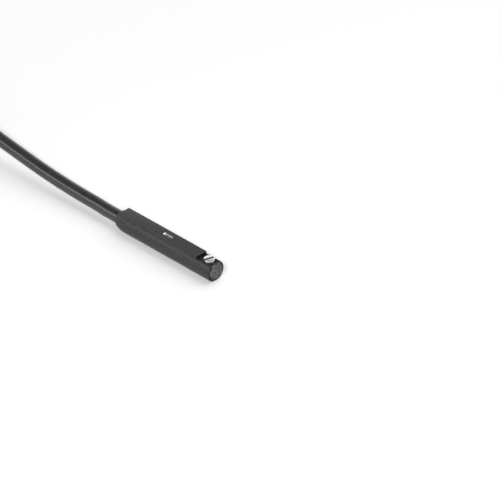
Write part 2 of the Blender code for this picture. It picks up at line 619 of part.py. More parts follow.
def build_grip(plug, rubber):
    socket = CABLE_RADIUS + SOCKET_GAP
    profile = [(SOCKET_DEPTH, 0), (SOCKET_DEPTH, socket), (0, socket)]
    rib_pitch = RELIEF_LENGTH / RELIEF_RIBS
    for rib in range(RELIEF_RIBS):
        start = rib * rib_pitch
        for share, sink in ((0.0, 0), (0.55, 0), (0.65, RELIEF_GROOVE), (0.9, RELIEF_GROOVE)):
            place = start + share * rib_pitch
            slope = RELIEF_FRONT_RADIUS - RELIEF_REAR_RADIUS
            profile.append((place, RELIEF_REAR_RADIUS + slope * place / RELIEF_LENGTH - sink))
    steps = 8
    profile.append((RELIEF_LENGTH, RELIEF_FRONT_RADIUS))
    flange_start = GRIP_END - GRIP_FLANGE
    for step in range(steps + 1):
        share = step / steps
        place = RELIEF_LENGTH + 0.0006 + (flange_start - RELIEF_LENGTH - 0.0006) * share
        swell = math.sin(math.pi * share) ** 0.5 if 0 < share < 1 else 0.0
        radius = GRIP_REAR_RADIUS + (GRIP_FRONT_RADIUS - GRIP_REAR_RADIUS) * share
        profile.append((place, radius, GRIP_FLUTE_DEPTH * swell))
    profile += [(flange_start + 0.0002, COUPLING_RING_RADIUS - 0.0003),
                (GRIP_END - 0.0002, COUPLING_RING_RADIUS - 0.0003),
                (GRIP_END, COUPLING_RING_RADIUS - 0.0005)]
    recess = CARRIER_RADIUS + FIT
    floor = GRIP_END - CARRIER_SEAT_DEPTH
    profile += [(GRIP_END, recess), (floor, recess), (floor, 0)]
    add_piece("plug_grip", lathe(profile, 48, ridges=GRIP_FLUTES), rubber, plug)


def build_coupling(plug, nickel):
    ring_end = COUPLING_START + COUPLING_RING_LENGTH
    neck_end = ring_end + COUPLING_NECK_LENGTH
    end = neck_end + COUPLING_THREAD_LENGTH
    bore = CARRIER_RADIUS + COUPLING_CLEARANCE
    snap_start = CARRIER_START + SNAP_RING_START - COUPLING_CLEARANCE
    snap_end = snap_start + SNAP_RING_LENGTH + 2 * COUPLING_CLEARANCE
    snap_bore = SNAP_RING_RADIUS + COUPLING_CLEARANCE
    top = COUPLING_RING_RADIUS
    low = top - COUPLING_EDGE
    profile = [(COUPLING_START, bore), (COUPLING_START, low),
               (COUPLING_START + COUPLING_EDGE, top, COUPLING_KNURL_DEPTH),
               (ring_end - COUPLING_EDGE, top, COUPLING_KNURL_DEPTH), (ring_end, low),
               (ring_end, COUPLING_NECK_RADIUS), (neck_end, COUPLING_NECK_RADIUS),
               (neck_end + COUPLING_EDGE, COUPLING_THREAD_RADIUS),
               (end - COUPLING_EDGE, COUPLING_THREAD_RADIUS),
               (end, COUPLING_THREAD_RADIUS - COUPLING_EDGE), (end, bore),
               (snap_end, bore), (snap_end, snap_bore), (snap_start, snap_bore), (snap_start, bore)]
    add_piece("coupling_screw", lathe(profile, 72, closed=True, ridges=COUPLING_KNURLS), nickel, plug)


def build_carrier(plug, plastic, gold):
    end = CARRIER_START + CARRIER_LENGTH
    floor = end - CARRIER_CUP_DEPTH
    inside = CARRIER_RADIUS - CARRIER_WALL
    snap = CARRIER_START + SNAP_RING_START
    profile = [(CARRIER_START, 0), (CARRIER_START, CARRIER_RADIUS), (snap, CARRIER_RADIUS),
               (snap, SNAP_RING_RADIUS), (snap + SNAP_RING_LENGTH, SNAP_RING_RADIUS),
               (snap + SNAP_RING_LENGTH, CARRIER_RADIUS), (end, CARRIER_RADIUS), (end, inside),
               (floor, inside), (floor, 0)]
    carrier = add_piece("contact_carrier", lathe(profile, 48), plastic, plug)
    key = box((floor - SEAT_GAP, -CARRIER_KEY_WIDTH / 2, inside - CARRIER_KEY_HEIGHT),
              (end - SEAT_GAP, CARRIER_KEY_WIDTH / 2, inside + CARRIER_WALL / 2))
    combine(carrier, add_piece("carrier_key_guide", key, plastic, plug), "UNION")

    root = floor - PIN_ROOT
    tip = floor + PIN_LENGTH
    dome = [(tip - PIN_RADIUS + PIN_RADIUS * rise, PIN_RADIUS * reach)
            for reach, rise in arc(1, 0, 90, 4)[:-1]]
    pin_profile = [(root, 0), (root, PIN_RADIUS), *dome, (tip, 0)]
    hole_radius = PIN_RADIUS + FIT
    hole_profile = [(root - FIT, 0), (root - FIT, hole_radius),
                    (floor + OVERSHOOT, hole_radius), (floor + OVERSHOOT, 0)]
    for name, angle in PIN_ANGLES.items():
        y = PIN_CIRCLE_RADIUS * math.cos(math.radians(angle))
        z = PIN_CIRCLE_RADIUS * math.sin(math.radians(angle))
        cutter = add_piece(f"{name}_hole_cutter", lathe(hole_profile, 16), plastic, plug, (0, y, z))
        combine(carrier, cutter, "DIFFERENCE")
        add_piece(name, lathe(pin_profile, 16), gold, plug, (0, y, z))


def main():
    for existing in list(bpy.data.objects):
        bpy.data.objects.remove(existing, do_unlink=True)
    materials = {
        "board": make_material("board_green", (0.02, 0.16, 0.07), 0.45),
        "resin": make_material("chip_black", (0.02, 0.02, 0.02), 0.5),
        "ceramic": make_material("capacitor_tan", (0.42, 0.3, 0.18), 0.5),
        "tin": make_material("solder_tin", (0.7, 0.7, 0.7), 0.3, 1.0),
        "led": make_material("led_cream", (0.85, 0.8, 0.6), 0.3),
        "window": make_material("window_white", (0.85, 0.86, 0.84), 0.3),
        "seal": make_material("seal_black", (0.02, 0.02, 0.022), 0.6),
        "brown": make_material("core_brown", (0.16, 0.06, 0.025), 0.45),
        "blue": make_material("core_blue", (0.02, 0.1, 0.45), 0.45),
        "black": make_material("core_black", (0.02, 0.02, 0.02), 0.45),
        "jacket": make_material("cable_black", (0.035, 0.035, 0.035), 0.5),
        "tie": make_material("tie_black", (0.025, 0.025, 0.025), 0.6),
    }
    plastic = make_material("housing_grey", (0.08, 0.078, 0.082), 0.5)
    steel = make_material("screw_steel", (0.75, 0.74, 0.72), 0.25, 1.0)
    rubber = make_material("grip_black", (0.025, 0.025, 0.026), 0.55)
    nickel = make_material("coupling_nickel", (0.72, 0.7, 0.66), 0.25, 1.0)
    insert = make_material("carrier_black", (0.03, 0.03, 0.03), 0.45)
    gold = make_material("pin_gold", (0.9, 0.68, 0.3), 0.25, 1.0)

    axis = add_empty("sensor_axis", (0, 0, AXIS_Z))
    build_housing(axis, plastic)
    build_clamp(axis, plastic, steel)
    build_electronics(axis, materials)
    build_lead(axis, materials)
    build_cable(materials)
    plug = add_empty("plug_axis", (PLUG_X, PLUG_Y, PLUG_AXIS_HEIGHT), math.pi)
    build_grip(plug, rubber)
    build_coupling(plug, nickel)
    build_carrier(plug, insert, gold)


main()
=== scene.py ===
"""Looks of the cylinder position sensor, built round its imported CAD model.

Metres, +Z up, in the CAD model's own frame. The sensor lies along X with its clamp screw at the +X
end. The lead leaves the rear, is folded into a tied hank outside the picture and ends in a plug.
Heights in the housing are measured from its axis.
"""
import json
import math

import bmesh
import bpy
from mathutils import Matrix, Vector


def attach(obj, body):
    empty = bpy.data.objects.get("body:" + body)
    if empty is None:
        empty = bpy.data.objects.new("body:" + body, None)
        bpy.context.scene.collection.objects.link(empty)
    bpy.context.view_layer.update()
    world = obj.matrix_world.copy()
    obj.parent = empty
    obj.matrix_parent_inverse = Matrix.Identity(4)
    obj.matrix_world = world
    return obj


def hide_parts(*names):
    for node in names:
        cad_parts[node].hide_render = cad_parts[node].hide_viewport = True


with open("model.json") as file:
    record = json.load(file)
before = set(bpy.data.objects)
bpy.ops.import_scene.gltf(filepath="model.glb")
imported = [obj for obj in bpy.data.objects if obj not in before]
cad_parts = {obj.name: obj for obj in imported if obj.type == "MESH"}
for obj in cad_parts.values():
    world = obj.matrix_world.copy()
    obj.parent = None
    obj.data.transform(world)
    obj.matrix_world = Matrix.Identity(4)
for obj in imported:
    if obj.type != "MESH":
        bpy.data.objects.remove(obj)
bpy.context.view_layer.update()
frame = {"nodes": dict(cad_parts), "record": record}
cad_nodes = frame["nodes"]

# Camera
CAMERA_AZIMUTH = math.radians(44)
CAMERA_ELEVATION = math.radians(35)
CAMERA_DISTANCE = 0.65
CAMERA_LENS = 261.3
CAMERA_TARGET = (0.00974, 0.01098, 0.0)

# Distances kept between pieces, between tools that would share a plane, and past a surface
FIT = 0.00005
SLIVER = 0.00001
OVERSHOOT = 0.001

# Faces round a turned solid
LARGE_STEPS = 128
SMALL_STEPS = 40

# Housing
FRONT = 0.012
REAR = -0.012
AXIS_Z = 0.002
BODY_RADIUS = 0.002
NECK_WIDTH = 0.0026
NECK_HEIGHT = 0.00203
NECK_SETBACK = 0.0008
NECK_EDGE = 0.0001
NECK_FILLET = 0.00032
NECK_FILLET_REACH = 2.2
NOSE_LENGTH = 0.0022
NOSE_STEPS = 16
RIM_RADIUS = 0.00155
RIM_EDGE = 0.00006
CAVITY_RADIUS = 0.0017
CAVITY_REAR = -0.0098
CABLE_BORE_RADIUS = 0.00142
FRONT_EDGE = 0.00024
SEAT_REAR = 0.00835
SEAT_HEIGHT = math.sqrt(BODY_RADIUS ** 2 - (NECK_WIDTH / 2) ** 2)
SLOT_WIDTH = 0.0022
ROOF_THICKNESS = 0.00015
UNDERCUT_LENGTH = 0.0006
TIP_HOLE_STEPS = 67

# Clamp block and screw
SEAT_GAP = 0.0001
BLOCK_RADIUS = 0.00155
BLOCK_SETTLE = 0.00008
BLOCK_REAR = 0.0068
BLOCK_HEIGHT = 0.00143
BLOCK_EDGE = 0.00008
LIP_THICKNESS = 0.00035
TONGUE_HEIGHT = 0.0011
TONGUE_GAP = 0.0004
SCREW_X = 0.01035
SCREW_RADIUS = 0.001
SCREW_ROOT_RADIUS = 0.00077
SCREW_PITCH = 0.0004
SCREW_LENGTH = 0.0039
SCREW_TOP_HEIGHT = 0.00205
SCREW_CHAMFER = 0.00012
SCREW_PLAIN_LENGTH = 0.00045
SCREW_SLOT_WIDTH = 0.0004
SCREW_SLOT_DEPTH = 0.00075
SCREW_SLOT_TURN = math.radians(72)
SCREW_HOLE_RADIUS = SCREW_RADIUS + FIT

# Indicator window and the printed mark beside it
WINDOW_X = -0.00078
WINDOW_RADIUS = 0.00027
WINDOW_DEPTH = 0.0007
MARK_START = -0.0003
MARK_PITCH = 0.00042
MARK_BARS = (0.00062, 0.0004, 0.00062, 0.0004)
MARK_WIDTH = 0.0002
MARK_THICKNESS = 0.000012

# Lead and hank
CABLE_DIAMETER = 0.0025
CABLE_SPACING = 0.0005
CABLE_END_GAP = 0.0002
LEAD_ROUTE = (
    (-0.0085, 0.0000, 0.0020),
    (-0.0100, 0.0000, 0.0020),
    (-0.0120, 0.0000, 0.0020),
    (-0.0140, 0.0000, 0.00201),
    (-0.0160, 0.0000, 0.00204),
    (-0.0185, 0.00008, 0.0021),
    (-0.0215, 0.0000, 0.00222),
    (-0.0262, -0.00006, 0.00248),
    (-0.0325, -0.00008, 0.0030),
    (-0.0391, 0.0000, 0.00376),
    (-0.0440, 0.0000, 0.00446),
    (-0.0485, 0.0000, 0.00525),
)
HANK_NEAR_X = -0.0615
HANK_RUN = 0.025
HANK_FAR_X = HANK_NEAR_X - HANK_RUN
HANK_MIDDLE_X = (HANK_NEAR_X + HANK_FAR_X) / 2
HANK_Y = 0.0
HANK_END_RADIUS = 0.00765
HANK_LANE = 0.00135
HANK_LIFT = 0.0006
HANK_LIFT_LENGTH = 0.008
HANK_LAPS = 2
TAIL_SHARES = ((0.18, 0.04, 0.0), (0.34, 0.2, 0.01), (0.5, 0.45, 0.2), (0.66, 0.75, 0.62),
               (0.82, 0.95, 0.93))
TIE_WIDTH = 0.004
TIE_THICKNESS = 0.0005
TIE_CORNER = 0.001
TIE_EDGE = 0.00012
TIE_HALF_WIDTH = 0.00304
TIE_TOP = 0.0083
TIE_HEAD_LENGTH = 0.0046
TIE_HEAD_WIDTH = 0.0052
TIE_HEAD_HEIGHT = 0.001
TIE_HEAD_EDGE = 0.0003
TIE_STUB = 0.0009
TIE_STUB_EDGE = 0.0001
TIE_TEETH = 2
TIE_TOOTH_START = 0.00025
TIE_TOOTH_PITCH = 0.00035
TIE_TOOTH_WIDTH = 0.0002
TIE_TOOTH_DEPTH = 0.00012
TIE_TOOTH_INSET = 0.0006

# Plug, along its own axis from the cable end to the mating face
PLUG_X = -0.10795
PLUG_Y = 0.0036
PLUG_Z = 0.00495
SOCKET_DEPTH = 0.002
SOCKET_GAP = 0.0001
RELIEF_LENGTH = 0.0085
RELIEF_REAR_RADIUS = 0.0021
RELIEF_FRONT_RADIUS = 0.0031
RELIEF_RIBS = 5
RELIEF_GROOVE = 0.0004
GRIP_END = 0.020
GRIP_REAR_RADIUS = 0.0038
GRIP_FRONT_RADIUS = 0.0043
GRIP_FLUTES = 8
GRIP_FLUTE_DEPTH = 0.0005
GRIP_FLANGE = 0.0012
GRIP_FLANGE_STEP = 0.0003
GRIP_RIM_EDGE = 0.0002
GRIP_START_GAP = 0.0006
GRIP_SEAT_DEPTH = 0.0015
GRIP_EDGE = 0.00012
GRIP_STEPS = 16
CARRIER_START = 0.0186
CARRIER_RADIUS = 0.00325
CARRIER_LENGTH = 0.0130
CARRIER_CUP_DEPTH = 0.006
CARRIER_WALL = 0.0005
CARRIER_KEY_WIDTH = 0.0008
CARRIER_KEY_HEIGHT = 0.0004
CARRIER_KEY_SETBACK = 0.0001
CARRIER_KEY_EDGE = 0.00008
SNAP_RING_RADIUS = 0.0036
SNAP_RING_START = 0.0038
SNAP_RING_LENGTH = 0.0008
COUPLING_START = 0.0203
COUPLING_RING_LENGTH = 0.005
COUPLING_RING_RADIUS = 0.0049
COUPLING_KNURLS = 24
COUPLING_KNURL_DEPTH = 0.00035
COUPLING_KNURL_POWER = 24
COUPLING_EDGE = 0.0004
COUPLING_ROUNDING = 0.0001
COUPLING_OVERLAP = 0.0002
COUPLING_GAP = 0.0001
COUPLING_NECK_LENGTH = 0.0009
COUPLING_NECK_RADIUS = 0.0037
COUPLING_THREAD_RADIUS = 0.004
COUPLING_ROOT_RADIUS = 0.00352
COUPLING_THREAD_LENGTH = 0.0058
COUPLING_PITCH = 0.001
COUPLING_BORE = CARRIER_RADIUS + COUPLING_GAP
PIN_RADIUS = 0.0005
PIN_CIRCLE_RADIUS = 0.00135
PIN_LENGTH = 0.0054
PIN_ROOT = 0.003
PIN_ANGLES = {"contact_pin_1": 150, "contact_pin_3": 30, "contact_pin_4": 270}

# Painted shade on the clamp block behind its front face, and in the screw's slot and on its side
# where it stands in its hole, in millimetres and as shares of the full colour
MM = 1000
FRONT_FACE_DEPTH = 0.25
BLOCK_SHADE_TONE = 0.4
SLOT_SHADE_TONE = 0.06
SLOT_SHADE_HALF_WIDTH = 0.25
SLOT_SHADE_TOP_DEPTH = 0.04
SIDE_SHADE_DEPTH = 0.14
SIDE_SHADE_RADIUS = 0.97
SIDE_SHADE_SHARE = 0.7

# Floor and light. A level of 1 shows white, and the floor's distances are in millimetres
FLOOR_SIZE = 1.5
FLOOR_NEAR = 150
FLOOR_FADE = 400
WORLD_LEVEL = 0.3
HORIZON_RISE = 0.55
CEILING_RISE = 0.7
CEILING_LEVEL = 0.05
STRIP_SIDE = (-0.6, -0.8, 0)
STRIP_EDGE = 0.7
STRIP_LOW = 0.3
STRIP_HIGH = 0.55
STRIP_RISE = 3.4
STRIP_SIDE_SLOPE = 10
STRIP_HEIGHT_SLOPE = 20
# Name, place, width, height and power
LAMPS = (
    ("key", (0.65, -0.70, 0.71), 0.8, 0.14, 15.5),
    ("back", (0.0, 0.54, 0.84), 1.2, 1.3, 7.4),
)

SHARP_ANGLE = math.radians(32)

AS_BUILT = Matrix.Identity(4)
UPRIGHT = Matrix.Rotation(-math.pi / 2, 4, "Y")
SENSOR_AXIS = Matrix.Translation((0, 0, AXIS_Z))
PLUG_AXIS = Matrix.Translation((PLUG_X, PLUG_Y, PLUG_Z)) @ Matrix.Rotation(math.pi, 4, "Z")


class Value:
    """A number that changes over a surface. Sums and products of it add Math nodes."""

    def __init__(self, nodes, socket):
        self.nodes = nodes
        self.socket = socket

    def maths(self, operation, *values):
        return self.nodes.node("ShaderNodeMath", {"operation": operation}, dict(enumerate(values)))

    def __add__(self, other):
        return self.maths("ADD", self, other)

    def __radd__(self, other):
        return self.maths("ADD", other, self)

    def __sub__(self, other):
        return self.maths("SUBTRACT", self, other)

    def __rsub__(self, other):
        return self.maths("SUBTRACT", other, self)

    def __mul__(self, other):
        return self.maths("MULTIPLY", self, other)

    def __rmul__(self, other):
        return self.maths("MULTIPLY", other, self)

    def clamped(self):
        return self.maths("MINIMUM", self.maths("MAXIMUM", self, 0.0), 1.0)

    def rising_from(self, start, slope):
        """0 up to a start, then rising by a slope to 1."""
        return ((self - start) * slope).clamped()

    def falling_to(self, end, slope):
        """1, then falling by a slope to 0 at an end."""
        return ((end - self) * slope).clamped()


class Nodes:
    """A node tree, built node by node."""

    def __init__(self, tree):
        self.tree = tree

    def node(self, kind, settings=None, inputs=None, output=0):
        """Adds a node: its settings first, then the values or links of its sockets."""
        made = self.tree.nodes.new(kind)
        for name, value in (settings or {}).items():
            setattr(made, name, value)
        for name, value in (inputs or {}).items():
            self.join(made.inputs[name], value)
        return Value(self, made.outputs[output])

    def join(self, socket, value):
        if isinstance(value, Value):
            self.tree.links.new(value.socket, socket)
        else:
            socket.default_value = value


class Finish(Nodes):
    """A procedural material."""

    def __init__(self, name, colour, roughness, metallic=0.0, **sockets):
        self.material = bpy.data.materials.new(name)
        self.material.use_nodes = True
        super().__init__(self.material.node_tree)
        self.shader = self.tree.nodes["Principled BSDF"]
        self.set("Base Color", (*colour, 1.0))
        self.set("Roughness", roughness)
        self.set("Metallic", metallic)
        for socket, value in sockets.items():
            self.set(socket.replace("_", " "), value)

    def set(self, socket, value):
        self.join(self.shader.inputs[socket], value)

    def place(self, stretch=(1, 1, 1)):
        """Object coordinates in millimetres, shortened along an axis to stretch a pattern there."""
        coordinates = self.node("ShaderNodeTexCoord", output="Object")
        scale = [MM / length for length in stretch]
        return self.node("ShaderNodeMapping", {}, {"Vector": coordinates, "Scale": scale})

    def noise(self, size, detail=2.0, roughness=0.5, stretch=(1, 1, 1)):
        """Noise with features of a size in millimetres, from 0 to 1."""
        inputs = {"Vector": self.place(stretch), "Scale": 1 / size, "Detail": detail,
                  "Roughness": roughness}
        return self.node("ShaderNodeTexNoise", {}, inputs)

    def blend(self, factor, first, second):
        """A colour between two colours, each of which may change over the surface."""
        first, second = (value if isinstance(value, Value) else (*value, 1.0)
                         for value in (first, second))
        return self.node("ShaderNodeMix", {"data_type": "RGBA"}, {0: factor, 6: first, 7: second},
                         output=2)

    def bump(self, height, depth):
        """Raises the surface by a height from 0 to 1 times a depth in millimetres."""
        inputs = {"Height": height, "Distance": depth / MM, "Strength": 1.0}
        self.set("Normal", self.node("ShaderNodeBump", {}, inputs))


def moulded(name, colour, roughness, grain=0.09, depth=0.012, mottle=0.12, patch=1.6, contrast=2.8,
            swell=0.0, gloss=0.5, stretch=(1, 1, 1), unshaded_share=None):
    """Moulded plastic or rubber: a fine spark-eroded grain, and patches of an uneven tone.

    The patches' size is in millimetres, and swell raises them in the bump beside the grain. A share
    from 0 to 1 by place, if given, keeps the full colour where it is 1 and darkens the colour as
    painted shade where it is 0.
    """
    finish = Finish(name, colour, roughness, Specular_IOR_Level=gloss)
    fine = finish.noise(grain, detail=3.0, roughness=0.6, stretch=stretch)
    broad = finish.noise(patch, detail=3.0)
    tone = (fine * 0.4 + broad * 0.6 - 0.5) * contrast + 0.5
    dark = [part * (1 - mottle) for part in colour]
    light = [min(1.0, part * (1 + mottle)) for part in colour]
    shade = finish.blend(tone.clamped(), dark, light)
    # Painted shade: the colour darkens where the share given by place falls to 0.
    if unshaded_share:
        shade = finish.blend(unshaded_share(finish), [part * BLOCK_SHADE_TONE for part in colour], shade)
    finish.set("Base Color", shade)
    finish.set("Roughness", (roughness + (broad - 0.5) * 0.25 + (fine - 0.5) * 0.15).clamped())
    finish.bump(fine + broad * swell, depth)
    return finish.material


def metal(name, colour, roughness, scratch=0.03, depth=0.0015, stretch=(1, 1, 12), wear=0.15,
          painted_shade=None):
    """Turned or drawn metal: fine lines along one axis and a few duller patches.

    A share from 0 to 1 by place, if given, paints shade: where it is high the metal is dark and
    less shiny.
    """
    finish = Finish(name, colour, roughness, 1.0)
    lines = finish.noise(scratch, detail=2.0, stretch=stretch)
    patches = finish.noise(0.9, detail=3.0)
    dull_and_shade = [part * (1 - wear) for part in colour]
    tone = patches.clamped()
    rough = roughness + (patches - 0.5) * 0.2 + (lines - 0.5) * 0.12
    # Painted shade: the colour goes dark where the share is high.
    if painted_shade:
        share = painted_shade(finish)
        dull_and_shade = [part * SLOT_SHADE_TONE for part in colour]
        tone = 1.0 - share
        rough = rough + share * 0.3
    finish.set("Base Color", finish.blend(tone, dull_and_shade, colour))
    finish.set("Roughness", rough.clamped())
    finish.bump(lines, depth)
    return finish.material


def on_front_face(finish):
    """1 on the clamp block's front face, 0 behind it, where the block is darkened as painted shade.
    """
    along = finish.node("ShaderNodeSeparateXYZ", {}, {"Vector": finish.place()}, output="X")
    return along.rising_from(FRONT * MM - FRONT_FACE_DEPTH, 6)


def screw_slot_shade(finish):
    """Painted shade: 1 inside the screw's slot and less on its side, 0 on its top face."""
    top = (AXIS_Z + SCREW_TOP_HEIGHT) * MM
    sideways = (-math.sin(SCREW_SLOT_TURN), math.cos(SCREW_SLOT_TURN), 0)
    middle = sideways[0] * SCREW_X * MM
    height = finish.node("ShaderNodeSeparateXYZ", {}, {"Vector": finish.place()}, output="Z")
    from_centre = finish.node("ShaderNodeVectorMath", {"operation": "DISTANCE"},
                              {0: finish.place(), 1: (SCREW_X * MM, 0, top)}, output="Value")
    across = finish.node("ShaderNodeVectorMath", {"operation": "DOT_PRODUCT"},
                         {0: finish.place(), 1: sideways}, output="Value")
    from_middle = finish.node("ShaderNodeMath", {"operation": "ABSOLUTE"}, {0: across - middle})
    slot = from_middle.falling_to(SLOT_SHADE_HALF_WIDTH, 25) * height.falling_to(top - SLOT_SHADE_TOP_DEPTH, 8)
    side = (height.falling_to(top - SIDE_SHADE_DEPTH, 12)
            * from_centre.rising_from(SIDE_SHADE_RADIUS, 40) * SIDE_SHADE_SHARE)
    return (slot + side).clamped()


def make_finishes():
    return {
        "housing_plastic": moulded("housing_moulded_grey", (0.026, 0.024, 0.026), 0.4, 0.12, 0.018,
                                   0.45, patch=0.4, contrast=4.5, gloss=0.3, stretch=(1, 2, 1)),
        # The block is darkened behind its front face as painted shade.
        "block_plastic": moulded("block_moulded_grey", (0.060, 0.059, 0.060), 0.55, 0.12, 0.06,
                                 0.75, patch=0.5, contrast=8.0, swell=3.0, unshaded_share=on_front_face),
        # The screw's slot and its side in the hole are darkened as painted shade.
        "screw_steel": metal("screw_turned_steel", (0.92, 0.91, 0.89), 0.2, 0.05, 0.0002,
                             painted_shade=screw_slot_shade),
        "window_plastic": moulded("window_milky_plastic", (0.86, 0.87, 0.85), 0.3, 0.1, 0.002,
                                  0.03),
        "board_laminate": moulded("board_green_laminate", (0.02, 0.15, 0.07), 0.4, 0.12, 0.006),
        "chip_resin": moulded("chip_black_resin", (0.022, 0.022, 0.024), 0.5, 0.05, 0.006),
        "led_body": moulded("led_cream_body", (0.8, 0.76, 0.58), 0.32, 0.08, 0.003, 0.05),
        "capacitor_ceramic": moulded("capacitor_tan_ceramic", (0.42, 0.3, 0.18), 0.5, 0.05, 0.005),
        "core_brown": moulded("core_brown_insulation", (0.14, 0.055, 0.025), 0.42, 0.2, 0.004),
        "core_blue": moulded("core_blue_insulation", (0.02, 0.09, 0.42), 0.42, 0.2, 0.004),
        "core_black": moulded("core_black_insulation", (0.02, 0.02, 0.02), 0.42, 0.2, 0.004),
        "solder_tin": metal("solder_bright_tin", (0.72, 0.72, 0.70), 0.28, 0.08, 0.004, (1, 1, 1)),
        "seal_resin": moulded("seal_black_resin", (0.02, 0.02, 0.022), 0.6, 0.12, 0.01),
        "cable_jacket": moulded("cable_satin_jacket", (0.027, 0.026, 0.027), 0.22, 0.12, 0.003,
                                0.15),
        "tie_plastic": moulded("tie_black_nylon", (0.03, 0.03, 0.031), 0.5, 0.1, 0.006),
        "grip_plastic": moulded("grip_black_moulding", (0.03, 0.03, 0.031), 0.55, 0.13, 0.018),
        "coupling_nickel": metal("coupling_nickel_plating", (0.70, 0.68, 0.63), 0.24, 0.06),
        "carrier_plastic": moulded("carrier_black_plastic", (0.03, 0.03, 0.03), 0.45, 0.1, 0.008),
        "pin_gold": metal("pin_gold_plating", (0.92, 0.70, 0.32), 0.2, 0.05, 0.0008),
    }


def softened(points, edge, steps=3, closed=False):
    """The same outline with each corner rounded over a short way on both sides."""
    points = [Vector(point) for point in points]
    rounded = []
    last = len(points) - 1
    for place, corner in enumerate(points):
        if not closed and place in (0, last):
            rounded.append(corner)
            continue
        before = points[place - 1] - corner
        after = points[(place + 1) % len(points)] - corner
        start = corner + before * min(0.45, edge / before.length)
        end = corner + after * min(0.45, edge / after.length)
        for step in range(steps + 1):
            share = step / steps
            rounded.append(start.lerp(corner, share).lerp(corner.lerp(end, share), share))
    return rounded


def turned(profile, steps=96):
    """A solid turned about X from a profile of (x, radius)."""
    bm = bmesh.new()
    line = [bm.verts.new((x, 0, radius)) for x, radius in profile]
    edges = [bm.edges.new(pair) for pair in zip(line, line[1:])]
    bmesh.ops.spin(bm, geom=line + edges, cent=(0, 0, 0), axis=(1, 0, 0), angle=math.tau,
                   steps=steps, use_merge=True)
    bmesh.ops.remove_doubles(bm, verts=bm.verts, dist=1e-8)
    bmesh.ops.recalc_face_normals(bm, faces=bm.faces)
    return bm


def extruded(outline, start, end, edge=0.0, ends=(True, True)):
    """An outline of (y, z) points extruded along X, with its end rims rounded."""
    bm = bmesh.new()
    face = bm.faces.new([bm.verts.new((start, y, z)) for y, z in outline])
    grown = bmesh.ops.extrude_face_region(bm, geom=[face])
    far = [item for item in grown["geom"] if isinstance(item, bmesh.types.BMVert)]
    bmesh.ops.translate(bm, vec=(end - start, 0, 0), verts=far)
    if edge:
        wanted = [place for place, keep in zip((start, end), ends) if keep]
        rims = [side for side in bm.edges
                if any(all(abs(vert.co.x - place) < FIT / 10 for vert in side.verts)
                       for place in wanted)]
        bmesh.ops.bevel(bm, geom=rims, offset=edge, segments=3, affect="EDGES", profile=0.5,
                        material=-1)
    bmesh.ops.recalc_face_normals(bm, faces=bm.faces)
    return bm


def block(low, high, edge=0.0, segments=2):
    """A box between two corners, with an optional rounded edge all round."""
    bm = bmesh.new()
    bmesh.ops.create_cube(bm, size=1)
    low, high = Vector(low), Vector(high)
    bmesh.ops.scale(bm, vec=high - low, verts=bm.verts)
    bmesh.ops.translate(bm, vec=(low + high) / 2, verts=bm.verts)
    if edge:
        bmesh.ops.bevel(bm, geom=bm.edges, offset=edge, segments=segments, affect="EDGES",
                        profile=0.5, material=-1)
    return bm


def threaded(start, end, crest, root, pitch, chamfer, steps=64):
    """A threaded rod along X: one helical spin of the thread's outline, trimmed at both ends."""
    turns = math.ceil((end - start) / pitch) + 2
    outline = []
    for turn in range(turns):
        foot = start + (turn - 1) * pitch
        outline += [(foot + pitch * share, radius) for share, radius in
                    ((0.0, root), (0.2, root), (0.52, crest), (0.68, crest))]
    bm = bmesh.new()
    line = [bm.verts.new((x, 0, radius)) for x, radius in outline]
    edges = [bm.edges.new(pair) for pair in zip(line, line[1:])]
    bmesh.ops.spin(bm, geom=line + edges, cent=(0, 0, 0), axis=(1, 0, 0), angle=math.tau,
                   steps=steps, dvec=(pitch / steps, 0, 0))
    bmesh.ops.remove_doubles(bm, verts=bm.verts, dist=1e-7)
    for place, outwards in ((start, -1), (end, 1)):
        bmesh.ops.bisect_plane(bm, geom=bm.verts[:] + bm.edges[:] + bm.faces[:], dist=1e-8,
                               plane_co=(place, 0, 0), plane_no=(outwards, 0, 0), clear_outer=True)
    bmesh.ops.holes_fill(bm, edges=[edge for edge in bm.edges if edge.is_boundary])
    for vert in bm.verts:
        inset = min(vert.co.x - start, end - vert.co.x)
        most = crest - chamfer + max(0.0, inset)
        radius = math.hypot(vert.co.y, vert.co.z)
        if radius > most:
            vert.co.y *= most / radius
            vert.co.z *= most / radius
    bmesh.ops.recalc_face_normals(bm, faces=bm.faces)
    return bm


def ridged(bm, count, depth, reach):
    """Sinks lengthwise valleys into a turned solid. reach gives their share by (x, radius)."""
    for vert in bm.verts:
        radius = math.hypot(vert.co.y, vert.co.z)
        if radius == 0:
            continue
        angle = math.atan2(vert.co.y, vert.co.z)
        sink = depth * reach(vert.co.x, radius) * (0.5 - 0.5 * math.cos(count * angle))
        vert.co.y *= 1 - sink / radius
        vert.co.z *= 1 - sink / radius
    return bm


def temporary(bm):
    """A mesh object for a tool or for the start of a shape."""
    mesh = bpy.data.meshes.new("tool")
    bm.to_mesh(mesh)
    bm.free()
    tool = bpy.data.objects.new("tool", mesh)
    bpy.context.scene.collection.objects.link(tool)
    return tool


def shaped(solid, *steps):
    """Joins tools to a solid or cuts them from it in turn, each given as operation, tool."""
    base = temporary(solid)
    tools = []
    for operation, tool in steps:
        tools.append(temporary(tool))
        modifier = base.modifiers.new(operation, "BOOLEAN")
        modifier.operation = operation
        modifier.solver = "EXACT"
        modifier.object = tools[-1]
    evaluated = base.evaluated_get(bpy.context.evaluated_depsgraph_get())
    bm = bmesh.new()
    bm.from_mesh(evaluated.to_mesh())
    evaluated.to_mesh_clear()
    for used in (base, *tools):
        bpy.data.objects.remove(used, do_unlink=True)
    return bm


def moved(bm, place):
    bmesh.ops.transform(bm, matrix=place, verts=bm.verts)
    return bm


